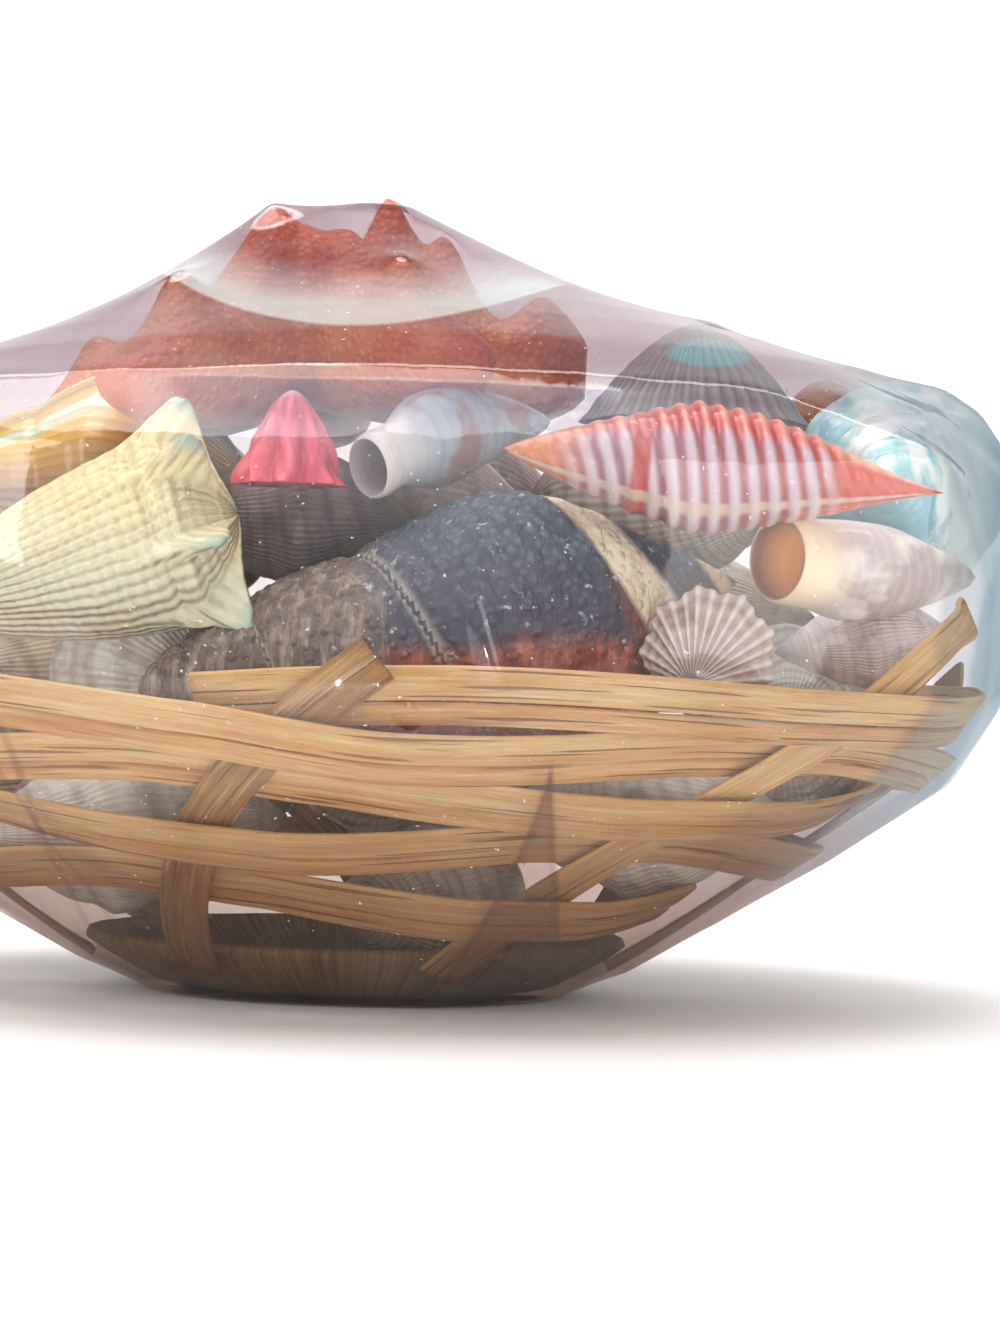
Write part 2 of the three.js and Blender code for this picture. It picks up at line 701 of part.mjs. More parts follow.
// Film drawn taut over the heap: each point slides on its own ray from the heart of the basket
function shrunkFilm() {
  const heart = new THREE.Vector3(0, 0, heartHeight);
  const rows = filmRows.length;
  const rays = filmRows.map(([half, height]) =>
    Array.from({ length: filmSides }, (_, j) => {
      const a = (turn * j) / filmSides;
      const sink = leftSink * Math.max(-Math.cos(a), 0) * bell(height - 101, 9);
      const up = height - sink - heartHeight;
      return new THREE.Vector3(half * Math.cos(a), half * depthShare * Math.sin(a), up);
    }),
  );
  const reach = rays.map((row) => row.map((ray) => ray.length()));
  rays.forEach((row) => row.forEach((ray) => ray.normalize()));
  const climbOf = ({ x, y, z }) => Math.atan2(z, Math.hypot(x, y / depthShare));
  const climbs = rays.map((row) => row.map(climbOf));
  let topReach = filmRows[rows - 1][1] + filmClearance / 7 - heartHeight;
  const fullness = reach.map((row) => [...row]);
  const at = (i, j) => {
    if (i >= rows) return new THREE.Vector3(0, 0, topReach);
    return rays[i][j % filmSides].clone().multiplyScalar(reach[i][j % filmSides]);
  };

  // Where the chord between two neighbours crosses a ray, with its pull
  const pulled = (p, q, ray) => {
    const near = p.dot(ray);
    const far = q.dot(ray);
    const offP = p.clone().addScaledVector(ray, -near).length();
    const offQ = q.clone().addScaledVector(ray, -far).length();
    return [(near * offQ + far * offP) / (offP + offQ), 1 / (offP * offQ)];
  };
  const relax = () => {
    for (let i = 1; i < rows; i += 1) {
      for (let j = 0; j < filmSides; j += 1) {
        const ray = rays[i][j];
        const [r1, w1] = pulled(at(i - 1, j), at(i + 1, j), ray);
        const [r2, w2] = pulled(at(i, j + 1), at(i, j + filmSides - 1), ray);
        const taut = (r1 * w1 + r2 * w2) / (w1 + w2);
        const full = Math.max(taut, fullness[i][j]);
        reach[i][j] = ray.z < 0 ? Math.min(full, -heartHeight / ray.z) : full;
      }
    }
    topReach = reach[rows - 1].reduce((sum, r, j) => sum + r * rays[rows - 1][j].z, 0) / filmSides;
  };

  // Contents as points, with the middles of long edges
  const points = [];
  for (const body of placed.values()) {
    const mesh = body.getMesh();
    const corner = (k) => new THREE.Vector3(...mesh.vertProperties.subarray(k * 3, k * 3 + 3));
    for (let k = 0; k < mesh.triVerts.length; k += 3) {
      const [a, b, c] = [0, 1, 2].map((m) => corner(mesh.triVerts[k + m]).sub(heart));
      points.push(a, a.clone().add(b).multiplyScalar(0.5), a.clone().add(b).add(c).divideScalar(3));
    }
  }
  const cells = new Map();
  for (const point of points) {
    const climb = climbOf(point);
    const angle = (Math.atan2(point.y / depthShare, point.x) / turn + 1) % 1;
    const j = Math.floor(angle * filmSides) % filmSides;
    let i = 0;
    while (i < rows - 1 && climb > climbs[i + 1][j]) i += 1;
    if (climb < climbs[0][j]) continue;
    const key = i * filmSides + j;
    if (!cells.has(key)) cells.set(key, []);
    cells.get(key).push({ point, i, j, far: point.length() });
  }
  const checked = [...cells.values()].flatMap((list) => {
    const farthest = Math.max(...list.map(({ far }) => far));
    return list.filter(({ far }) => far > farthest - 9);
  });

  // Raises the film wherever a point of the heap comes too close under it
  const raise = () => {
    for (const { point, i, j } of checked) {
      const ray = point.clone().normalize();
      const corners = [[i, j], [i, j + 1], [i + 1, j + 1], [i + 1, j]];
      const [a, b, c, d] = corners.map(([m, n]) => at(m, n));
      for (const [p, q, r, ids] of [[a, b, c, [0, 1, 2]], [a, c, d, [0, 2, 3]]]) {
        const normal = q.clone().sub(p).cross(r.clone().sub(p)).normalize();
        const facing = normal.dot(ray);
        if (Math.abs(facing) < 1e-6) continue;
        const hit = ray.clone().multiplyScalar(p.dot(normal) / facing);
        const area = (u, v, w) => v.clone().sub(u).cross(w.clone().sub(u)).dot(normal);
        const whole = area(p, q, r);
        const shares = [area(hit, q, r) / whole, area(p, hit, r) / whole, area(p, q, hit) / whole];
        if (Math.min(...shares) < -0.02) continue;
        const short = point.length() + filmClearance - hit.length();
        if (short <= 0) break;
        const weight = shares.reduce((sum, w) => sum + w * w, 0);
        ids.forEach((id, n) => {
          const [m, k] = corners[id];
          const lift = (short * Math.max(shares[n], 0)) / weight;
          if (m >= rows) topReach += lift;
          else if (m > 0) reach[m][k % filmSides] += lift;
        });
        break;
      }
    }
  };
  for (let n = 0; n < 40; n += 1) {
    relax();
    raise();
  }
  for (let n = 0; n < 16; n += 1) raise();
  // The bag less itself drawn in towards the heart, open at a small vent under the basket
  const around = reach.map((row, i) => row.map((_, j) => at(i, j).add(heart).toArray()));
  const bag = skin([0, 0, heartHeight + topReach], around.reverse(), [0, 0, 0]);
  const thinning = filmThickness / rimHalfLength;
  const hollow = bag.scale(1 - thinning).translate([0, 0, heartHeight * thinning]);
  const vent = Manifold.cylinder(2, ventRadius, ventRadius, 12).translate([0, 0, -1]);
  return bag.subtract(hollow).subtract(vent);
}

const film = addPiece("shrink_film", shrunkFilm(), 0xe8e4e6, 0.08);
film.material.transparent = true;
film.material.opacity = 0.3;

export default group;
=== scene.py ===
"""A small oval basket of woven flat reed, heaped with sea shells under a red sea star
and wrapped in clear shrink film. Metres, Z up, front towards -Y."""

import json
import math

import bpy
import numpy as np
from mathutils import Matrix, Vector
from mathutils.bvhtree import BVHTree

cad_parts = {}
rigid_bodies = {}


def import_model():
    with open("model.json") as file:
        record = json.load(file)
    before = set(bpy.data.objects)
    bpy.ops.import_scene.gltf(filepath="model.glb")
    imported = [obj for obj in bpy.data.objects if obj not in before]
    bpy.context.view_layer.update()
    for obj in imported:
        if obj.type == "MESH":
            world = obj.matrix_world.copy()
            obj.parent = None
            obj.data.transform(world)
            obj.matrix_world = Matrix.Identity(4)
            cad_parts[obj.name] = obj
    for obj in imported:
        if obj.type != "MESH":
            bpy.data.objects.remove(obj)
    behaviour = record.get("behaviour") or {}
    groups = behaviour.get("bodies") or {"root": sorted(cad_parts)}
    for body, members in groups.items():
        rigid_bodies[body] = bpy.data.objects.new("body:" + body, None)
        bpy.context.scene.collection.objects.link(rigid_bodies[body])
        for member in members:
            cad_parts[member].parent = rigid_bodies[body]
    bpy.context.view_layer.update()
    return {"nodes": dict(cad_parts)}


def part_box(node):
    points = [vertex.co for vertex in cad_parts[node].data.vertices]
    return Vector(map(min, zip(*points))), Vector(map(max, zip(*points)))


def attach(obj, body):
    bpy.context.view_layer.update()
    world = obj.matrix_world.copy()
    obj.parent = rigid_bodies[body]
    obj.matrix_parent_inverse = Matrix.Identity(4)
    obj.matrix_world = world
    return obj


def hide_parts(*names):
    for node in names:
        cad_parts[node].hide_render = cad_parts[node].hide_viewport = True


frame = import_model()

# Basket floor
# The floor of the basket is a shallow oval dish of thin split wood, the start of the wall.
# It is smoky brown and sits deep under the folded film, with the reed ends fanned over it.
TURN = 2 * math.pi
DEPTH_SHARE = 0.716
BASE_HALF = 0.0295
# Each row: a share of the base's half length, and of the dish's height.
DISH_SHAPE = np.array([[0.35, 0], [0.9, 0], [1.06, 0.12], [1.3, 0.66], [1.42, 1]])
DISH_HEIGHT, DISH_FOOT, DISH_THICK = 0.007, 0.0007, 0.0013


class Wire:
    """A value inside a material. Arithmetic on wires adds Math nodes, node() any other node."""

    def __init__(self, tree, socket=None):
        self.tree = tree
        self.socket = socket

    def node(self, kind, settings=None, inputs=None, output=0):
        """Adds a node of a type, sets its settings, then the values or links of its sockets."""
        made = self.tree.nodes.new("ShaderNode" + kind)
        for name, value in (settings or {}).items():
            if name == "stops":
                stops = made.color_ramp.elements
                stops[0].position = value[0][0]
                stops[1].position = value[-1][0]
                for place, _ in value[1:-1]:
                    stops.new(place)
                for stop, (_, colour) in zip(stops, value):
                    stop.color = colour
            else:
                setattr(made, name, value)
        for place, value in (inputs or {}).items():
            if isinstance(value, Wire):
                self.tree.links.new(value.socket, made.inputs[place])
            else:
                made.inputs[place].default_value = value
        return Wire(self.tree, made.outputs[output] if made.outputs else None)

    def calc(self, operation, *values):
        return self.node("Math", {"operation": operation}, dict(enumerate(values)))

    def __add__(self, other):
        return self.calc("ADD", self, other)

    __radd__ = __add__

    def __sub__(self, other):
        return self.calc("SUBTRACT", self, other)

    def __rsub__(self, other):
        return self.calc("SUBTRACT", other, self)

    def __mul__(self, other):
        return self.calc("MULTIPLY", self, other)

    __rmul__ = __mul__

    def __truediv__(self, other):
        return self.calc("DIVIDE", self, other)

    def __rtruediv__(self, other):
        return self.calc("DIVIDE", other, self)

    def sine(self):
        return self.calc("SINE", self)

    def cosine(self):
        return self.calc("COSINE", self)


def tint(red, green, blue):
    """The linear colour of a shade given in 0 to 255."""
    share = np.array([red, green, blue]) / 255
    linear = np.where(share <= 0.04045, share / 12.92, ((share + 0.055) / 1.055) ** 2.4)
    return (*map(float, linear), 1.0)


def grey(level):
    return (level, level, level, 1.0)


def ramp(value, low_end=0.0, high_end=1.0):
    """A wire moved from its own range to 0 to 1, held inside it."""
    return value.node(
        "MapRange", {"clamp": True}, {0: value, 1: low_end, 2: high_end, 3: 0.0, 4: 1.0}
    )


def blend(mask, under, over):
    """Two colours mixed by a mask."""
    return mask.node("Mix", {"data_type": "RGBA"}, {0: mask, 6: under, 7: over}, 2)


def noise(paint, place, scale, detail=3.0, rough=0.55, stretch=(1, 1, 1)):
    """Soft noise over a place, stretched along its axes."""
    laid = paint.node("Mapping", {}, {0: place, 3: stretch})
    return paint.node("TexNoise", {}, {"Vector": laid, "Scale": scale, "Detail": detail, "Roughness": rough})


def new_finish(name):
    """An empty material and the wire that starts its nodes."""
    made = bpy.data.materials.new(name)
    made.use_nodes = True
    made.node_tree.nodes.clear()
    return made, Wire(made.node_tree)


def ground(paint):
    """A point's place in the frame, in metres."""
    return paint.node("TexCoord", {}, {}, "Object")


def parts_of(place):
    """The wires of a place's three coordinates: across, back and up."""
    return [place.node("SeparateXYZ", {}, {0: place}, n) for n in range(3)]


def laid_map(paint, name):
    """The two parts of a piece's own map."""
    return parts_of(paint.node("UVMap", {"uv_map": name}))[:2]


def coated(paint, colour, roughness, height=None, relief=0.0, **plain):
    """The surface shader and the output: a colour, a roughness, and relief from a height wire."""
    inputs = {"Base Color": colour, "Roughness": roughness}
    inputs.update({key.replace("_", " "): value for key, value in plain.items()})
    if height is not None:
        inputs["Normal"] = paint.node("Bump", {}, {"Height": height, "Distance": relief, "Strength": 1.0})
    surface = paint.node("BsdfPrincipled", {}, inputs)
    paint.node("OutputMaterial", {}, {"Surface": surface})


laid_pieces = set()


def put(name, points, faces, maps, finish, node):
    """Makes a piece from points, faces and its maps of one pair per corner, in place of its solid."""
    mesh = bpy.data.meshes.new(name)
    mesh.from_pydata(points.tolist(), [], faces)
    mesh.polygons.foreach_set("use_smooth", np.ones(len(faces), bool))
    for key, pairs in maps.items():
        layer = mesh.uv_layers.new(name=key)
        layer.data.foreach_set("uv", np.asarray(pairs, np.float32).ravel())
    mesh.materials.append(finish)
    mesh.update()
    piece = bpy.data.objects.new(name, mesh)
    bpy.context.scene.collection.objects.link(piece)
    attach(piece, "root")
    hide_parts(node)
    laid_pieces.add(name)


def skin(rings, first, last, maps):
    """Points, faces and maps of rows of points closed round, with a pole at each end.
    rings is (rows, sides, 3); each map is (rows, sides + 1, 2), so that it closes without a jump."""
    rows, sides = rings.shape[:2]
    points = np.concatenate([np.array([first]), rings.reshape(-1, 3), np.array([last])])
    i, j = np.meshgrid(np.arange(rows - 1), np.arange(sides), indexing="ij")
    i, j = i.ravel(), j.ravel()
    k = (j + 1) % sides
    quads = np.stack([i * sides + j, (i + 1) * sides + j, (i + 1) * sides + k, i * sides + k], 1) + 1
    side = np.arange(sides)
    beside = (side + 1) % sides
    end = len(points) - 1
    caps_a = np.stack([np.zeros(sides, int), side + 1, beside + 1], 1)
    last_row = (rows - 1) * sides + 1
    caps_b = np.stack([last_row + side, np.full(sides, end), last_row + beside], 1)
    corners = {}
    for key, pairs in maps.items():
        body = np.stack([pairs[i, j], pairs[i + 1, j], pairs[i + 1, j + 1], pairs[i, j + 1]], 1)
        cap_a = np.stack([pairs[0, side], pairs[0, side], pairs[0, side + 1]], 1)
        cap_b = np.stack([pairs[-1, side], pairs[-1, side], pairs[-1, side + 1]], 1)
        corners[key] = [body, cap_a, cap_b]
    a, b, c, d = (points[quads[:, n]] - points.mean(0) for n in range(4))
    volume = np.einsum("ij,ij->i", a, np.cross(b, c)).sum() + np.einsum("ij,ij->i", a, np.cross(c, d)).sum()
    if volume < 0:
        quads, caps_a, caps_b = quads[:, ::-1], caps_a[:, ::-1], caps_b[:, ::-1]
        corners = {key: [part[:, ::-1] for part in parts] for key, parts in corners.items()}
    flat = {key: np.concatenate([part.reshape(-1, 2) for part in parts]) for key, parts in corners.items()}
    return points, quads.tolist() + caps_a.tolist() + caps_b.tolist(), flat


def dish(sides=96):
    """Rows of an oval dish: its underside from the middle out, then its upper side back in.
    Half the length and the height follow the profile; 28 shallow waves round it are the reeds."""
    angle = TURN * np.arange(sides + 1) / sides
    stations = np.linspace(0, len(DISH_SHAPE) - 1, 17)
    share, rise = (np.interp(stations, np.arange(len(DISH_SHAPE)), DISH_SHAPE[:, n]) for n in (0, 1))
    rise = rise * DISH_HEIGHT + DISH_FOOT
    half = np.concatenate([BASE_HALF * share, (BASE_HALF * share - 0.0005)[::-1]])
    height = np.concatenate([rise, rise[::-1] + DISH_THICK])
    fan = 1 + 0.006 * np.cos(28 * angle)
    x = half[:, None] * np.cos(angle) * fan
    y = half[:, None] * np.sin(angle) * DEPTH_SHARE * fan
    z = height[:, None] + 0 * angle
    maps = {"reed": np.stack([half[:, None] + 0 * angle, angle / TURN + 0 * half[:, None]], 2)}
    return np.stack([x, y, z], 2)[:, :-1], maps


def wood_finish(name, pale, dark, split):
    """Flat reed: long grain along the strip, soft light and dark lengths, streaks of painted shine, fine
    split lines.
    """
    made, paint = new_finish(name)
    length, across = laid_map(paint, "reed")
    strip = paint.node("CombineXYZ", {}, {0: length, 1: across, 2: 0.0})
    lengths = ramp(noise(paint, strip, 1.0, 4.0, 0.6, (38, 420, 1)), 0.4, 0.66)
    grain = ramp(noise(paint, strip, 1.0, 5.0, 0.7, (80, 3600, 1)), 0.35, 0.7)
    painted_shine = ramp(noise(paint, strip, 1.0, 3.0, 0.5, (30, 900, 1)), 0.52, 0.7)
    splits = ramp(noise(paint, strip, 1.0, 2.0, 0.4, (32, 1500, 1)), 0.615, 0.66)
    dust = ramp(noise(paint, ground(paint), 900, 3.0), 0.4, 0.7)
    colour = blend(lengths, pale, dark)
    # Pale streaks of painted shine stand in for highlights along the reed.
    colour = blend(painted_shine * 0.55, colour, tint(246, 222, 180))
    colour = blend(grain * 0.3, colour, split)
    colour = blend(splits * 0.8, colour, split)
    height = grain * 0.5 + dust * 0.2 - splits
    coated(paint, colour, 0.42 + grain * 0.2, height, 0.0003)
    return made


dish_wood = wood_finish("smoky reed", tint(214, 176, 112), tint(168, 128, 80), tint(96, 70, 48))
rows, dish_maps = dish()
points, faces, corners = skin(rows, (0, 0, DISH_FOOT), (0, 0, DISH_FOOT + DISH_THICK), dish_maps)
put("woven_base", points, faces, corners, dish_wood, "basket_base")

# Stakes
# Seven stakes of wide flat reed stand in the wall and lean to the right as they rise.
# Their feet are tucked over the dish, and one free end stands on past the rim at the right.
RIM_HALF = 0.097
RIM_HEIGHT = 0.049
STAKES = 7
STAKE_WIDTH = 0.0073
STAKE_FOOT, STAKE_TOP, FREE_STAKE_TOP = 0.0055, 0.0515, 0.060
STAKE_START = -11
STAKE_LEAN = 760
LEAN_FROM = 0.033
REED_THICK = 0.0012
# Each row: a share of the rim's height, and of its half length.
WALL_PROFILE = np.array(
    [
        [0.03, 0.34], [0.12, 0.43], [0.26, 0.537], [0.42, 0.65], [0.58, 0.773],
        [0.76, 0.9], [0.9, 0.97], [1, 1], [1.2, 1.045],
    ]
)


def along(pairs, place):
    """A smooth curve through pairs of place and value: cubic pieces with slopes from the neighbours."""
    x, y = pairs[:, 0], pairs[:, 1]
    i = np.clip(np.searchsorted(x, place, side="left") - 1, 0, len(x) - 2)
    before, after = np.maximum(i - 1, 0), np.minimum(i + 2, len(x) - 1)
    wide = x[i + 1] - x[i]
    t = np.clip((place - x[i]) / wide, 0, 1)
    slope_a = (y[i + 1] - y[before]) / (x[i + 1] - x[before]) * wide
    slope_b = (y[after] - y[i]) / (x[after] - x[i]) * wide
    return (
        (2 * t**3 - 3 * t**2 + 1) * y[i]
        + (t**3 - 2 * t**2 + t) * slope_a
        + (3 * t**2 - 2 * t**3) * y[i + 1]
        + (t**3 - t**2) * slope_b
    )


def wall(angle, height):
    """The wall's middle at an angle in degrees from the front and a height."""
    half = RIM_HALF * along(WALL_PROFILE, height / RIM_HEIGHT)
    round_angle = np.radians(angle)
    return np.stack([half * np.sin(round_angle), -half * DEPTH_SHARE * np.cos(round_angle), height], -1)


def unit(rows):
    """Arrows of length one."""
    return rows / np.linalg.norm(rows, axis=-1, keepdims=True)


def wall_ways(angle, height):
    """The wall's way up and its way out."""
    up = unit(wall(angle, height + 0.0005) - wall(angle, height - 0.0005))
    round_way = unit(wall(angle + 0.5, height) - wall(angle - 0.5, height))
    return up, unit(np.cross(round_way, up))


def stake_angle(index, height):
    """The angle in degrees where a stake stands at a height: it turns to the right as it rises."""
    return STAKE_START + 360 / STAKES * index + STAKE_LEAN * (height - LEAN_FROM)


def strip(middle, across, out, width, thick, run, corner_steps=4):
    """A flat reed with rounded edges: its section is an oval squeezed towards a rectangle."""
    angle = TURN * np.arange(4 * corner_steps) / (4 * corner_steps)
    flat = np.sign(np.cos(angle)) * np.abs(np.cos(angle)) ** 0.35 * width / 2
    deep = np.sign(np.sin(angle)) * np.abs(np.sin(angle)) ** 0.6 * thick / 2
    rings = middle[:, None] + across[:, None] * flat[:, None] + out[:, None] * deep[:, None]
    angle_side = np.append(flat, flat[0])
    maps = {"reed": np.stack([run[:, None] + 0 * angle_side, angle_side + 0 * run[:, None]], 2)}
    return skin(rings, middle[0], middle[-1], maps)


STAKE_SHADES = [
    (tint(186, 138, 78), tint(146, 98, 50)),
    (tint(236, 190, 124), tint(212, 156, 88)),
    (tint(214, 164, 102), tint(180, 126, 70)),
]
for index in range(STAKES):
    height = np.linspace(STAKE_FOOT, FREE_STAKE_TOP if index == 1 else STAKE_TOP, 80)
    angle = stake_angle(index, height)
    middle = wall(angle, height)
    _, out = wall_ways(angle, height)
    run_way = unit(wall(stake_angle(index, height + 0.0005), height + 0.0005) - middle)
    across = unit(np.cross(run_way, out))
    pale, dark = STAKE_SHADES[min(index, 2)]
    finish = wood_finish("stake reed %d" % (index + 1), pale, dark, tint(128, 88, 56))
    run = np.linspace(0, 0.1, 80) + index * 0.37
    points, faces, corners = strip(middle, across, out, STAKE_WIDTH, REED_THICK, run)
    name = "stake_%d" % (index + 1)
    put("reed_" + name, points, faces, corners, finish, name)

# Woven band
# One band of two flat reeds is woven over one stake and under the next, in four sinking turns.
# The upper reed is the wider one; both are pale split cane with brown split lines.
# Each pair of the course: an angle in degrees round the wall from the front, and a height in mm.
BAND_COURSE = np.array(
    [
        [-12, 44.2], [0, 45.6], [20, 46.3], [52, 45.6], [80, 44.9], [180, 45.3], [300, 45.2],
        [330, 44.4], [348, 42.6], [356, 40.8], [363, 39.5], [377, 38.5], [412, 38.2], [440, 37.6],
        [540, 37.3], [660, 37.2],
        [690, 36.4], [705, 35.2], [716, 33.2], [728, 31.9], [752, 31.6], [773, 31.4], [800, 31], [900, 30.4],
        [1020, 29.7], [1050, 28.5], [1065, 26.6], [1083, 25.1], [1114, 24.6], [1140, 24], [1250, 22.6],
        [1390, 20.2], [1410, 18.8], [1425, 17.3], [1440, 16.4], [1480, 15.8], [1500, 15.8],
    ]
)
BAND_WIDTH = 0.00865
UPPER_WIDTH, LOWER_WIDTH = 0.005, 0.0032
WEAVE_REACH = 0.002


def band_offset(angle, height):
    """How far the band lies out of the wall's middle: over one stake, under the next."""
    count = (angle - stake_angle(0, height)) / (360 / STAKES)
    return WEAVE_REACH * np.clip(-np.cos(np.pi * count) * 1.25, -1, 1)


def woven_reed(name, width, shift, finish):
    """A reed of the band, its middle shifted up the wall."""
    angle = np.linspace(BAND_COURSE[0, 0], BAND_COURSE[-1, 0], 1100)
    height = along(BAND_COURSE, angle) / 1000
    up, out = wall_ways(angle, height)
    middle = wall(angle, height) + out * band_offset(angle, height)[:, None] + up * shift
    run = np.concatenate([[0], np.cumsum(np.linalg.norm(np.diff(middle, axis=0), axis=1))])
    points, faces, corners = strip(middle, up, out, width, REED_THICK, run)
    put(name, points, faces, corners, finish, name.replace("reed_", "weaver_"))


pale_cane = wood_finish("pale cane", tint(240, 200, 138), tint(222, 164, 92), tint(138, 88, 44))
orange_cane = wood_finish("orange cane", tint(234, 184, 118), tint(208, 142, 76), tint(124, 76, 38))
woven_reed("reed_upper", UPPER_WIDTH, (BAND_WIDTH - UPPER_WIDTH) / 2, pale_cane)
woven_reed("reed_lower", LOWER_WIDTH, (LOWER_WIDTH - BAND_WIDTH) / 2, orange_cane)

# Shells of the hidden heap
# The basket is filled with small coiled sea shells, cream, tan and greyish, mostly out of sight.
# They lie in two layers and a row behind, each against the next, and carry those on top.
MOUTH_AT, MOUTH_DEPTH = 4.2, 0.2


def bell(distance, width):
    """A smooth hump of height one that falls off with distance."""
    return np.exp(-((distance / width) ** 2))


def coiled(s, rings, sides, fine=0.0):
    """A coiled shell from its apex along +X to its canal. Its radius rises to the widest place and
    falls again, is pinched along a spiral seam, and may carry ribs, a mouth and spines. A shell in
    the dark of the heap is drawn a little fuller than its solid, so that no light passes it.
    fine is 1 for the surface that is seen and 0 for the solid's own coarse one."""
    u = (1 - np.cos(np.pi * np.arange(1, rings) / rings)) / 2
    a = TURN * np.arange(sides + 1) / sides
    u, a = np.meshgrid(u, a, indexing="ij")
    widest, canal = s.get("widest", 0.45), s.get("canal", 0.12)
    tail = np.maximum((u - widest) / (1 - widest), 0)
    rise = np.minimum(u / widest, 1) ** s.get("taper", 0.8)
    slope = np.abs(np.cos(tail * np.pi / 2)) ** s.get("fall", 1)
    fall = (1 - canal) * slope + canal * np.sqrt(np.maximum(1 - tail * tail, 0))
    r = s["radius"] * (s.get("fuller", 1) if fine else 1) * np.where(u < widest, rise, fall)
    pace = math.log(s.get("pace", 1.7))
    whorl = np.log(np.maximum(u, 0.01) / widest) / pace - a / TURN
    part = whorl - np.floor(whorl)
    seam = np.clip((0.2 - whorl) / 0.1, 0, 1) if fine else (whorl < 0.2) * 1.0
    pinch = np.abs(np.sin(np.pi * part)) ** (0.6 - 0.25 * fine)
    r = r * (1 - seam * s.get("groove", 0.1) * (1 - pinch))
    if s.get("ribs"):
        r = r * (1 + s.get("rib_height", 0.05) * np.cos(s["ribs"] * a) * np.sin(np.pi * u))
    mouth_side = np.cos((a - MOUTH_AT) / 2) ** 2 - 1
    r = r * (1 - MOUTH_DEPTH * bell(mouth_side, 0.12) * bell(u - 0.72, 0.2))
    spine = 0 * u
    if s.get("spines"):
        spine = np.maximum(np.cos(s["spines"] * a), 0) ** (3 + 3 * fine) * bell(u - widest, 0.09)
    if fine:
        folds = np.cos(s.get("folds", 16) * a) * np.sin(np.pi * part)
        r = r * (1 + s.get("fold_height", 0.012) * folds * np.sin(np.pi * u))
        cords = np.cos(TURN * s.get("cords", 5) * part)
        r = r * (1 + s.get("cord_height", 0.006) * cords * np.sin(np.pi * u))
    if fine and s.get("cross_ribs"):
        slant = s.get("cross_slant", 0) * np.sin(a)
        rib = np.cos(TURN * (s["cross_ribs"] * u + slant))
        r = r * (1 + s.get("cross_height", 0.03) * rib * np.sin(np.pi * u))
    r = r + s.get("spine_height", 0) * spine
    x = s["length"] * u - s.get("spine_lean", 0) * spine
    shown = np.stack([x, r * np.cos(a), r * np.sin(a)], 2)
    maps = {
        "shell": np.stack([u, a / TURN], 2),
        "coil": np.stack([whorl, part], 2),
        "spine": np.stack([spine, spine], 2),
    }
    return shown[:, :-1], (0, 0, 0), (s["length"], 0, 0), maps


def domed(s, rings, sides, fine=0.0):
    """A ribbed valve from its apex to its open side, turned in to a shallow hollow."""
    a = TURN * np.arange(sides + 1) / sides
    u = np.arange(1, rings + 1) / rings
    share = np.concatenate([u ** s.get("power", 0.7), np.array([0.8, 0.45]) * 0.94])
    depth = np.concatenate([s["height"] * u, s["height"] * (1 - 0.4 * (1 - np.array([0.8, 0.45])))])
    share, depth, a = share[:, None] + 0 * a, depth[:, None] + 0 * a, a + 0 * share[:, None]
    lean = s.get("lean", 0)
    rib = 1 + s.get("rib_height", 0) * np.cos(s.get("ribs", 0) * a) * share
    if fine:
        rib = rib + s.get("fine_height", 0.01) * np.cos(s.get("fine_ribs", 60) * a) * share
        rib = rib + 0.01 * np.cos(TURN * share * 7) * share
        lumps = np.cos(9 * a + 5 * share) * np.cos(17 * share + 2 * np.cos(3 * a))
        rib = rib + s.get("lumps", 0) * lumps * share
    r = s["radius"] * (s.get("fuller", 1) if fine else 1) * share * rib
    y = r * np.cos(a) - lean * (1 - share) * s["radius"]
    maps = {"shell": np.stack([share, a / TURN], 2), "coil": np.stack([depth / s["height"], a / TURN], 2)}
    shown = np.stack([depth, y, r * np.sin(a)], 2)
    hollow = (s["height"] * 0.74, -lean * 0.3 * s["radius"], 0)
    return shown[:, :-1], (0, -lean * s["radius"], 0), hollow, maps


def aimed(rows, middle, heading, climb, spin):
    """Points of a body along +X, moved back by its middle, spun, raised and turned to a heading."""
    cz, sz = math.cos(math.radians(heading)), math.sin(math.radians(heading))
    cy, sy = math.cos(math.radians(-climb)), math.sin(math.radians(-climb))
    cx, sx = math.cos(math.radians(spin)), math.sin(math.radians(spin))
    about_z = np.array([[cz, -sz, 0], [sz, cz, 0], [0, 0, 1]])
    about_y = np.array([[cy, 0, sy], [0, 1, 0], [-sy, 0, cy]])
    about_x = np.array([[1, 0, 0], [0, cx, -sx], [0, sx, cx]])
    return (np.asarray(rows) - [middle, 0, 0]) @ (about_z @ about_y @ about_x).T


def lay(node, name, kind, s, aim, rough_grid, fine_grid, finish):
    """Makes a shell's fine surface and puts it where its solid lies: the solid's own coarse
    surface is worked out first, and its low corner gives the way that the shell was moved.
    The aim is a heading, a climb and a spin in degrees; a grid is a number of rings and of sides."""
    middle = s.get("length", s.get("height")) / 2
    rings, first, last, _ = kind(s, *rough_grid)
    coarse = aimed(np.concatenate([rings.reshape(-1, 3), [first], [last]]), middle, *aim)
    moved = np.array(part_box(node)[0]) - coarse.min(0) / 1000
    rings, first, last, maps = kind(s, *fine_grid, 1.0)
    rings, first, last = (aimed(part, middle, *aim) / 1000 + moved for part in (rings, first, last))
    points, faces, corners = skin(rings, first, last, maps)
    put(name, points, faces, corners, finish, node)


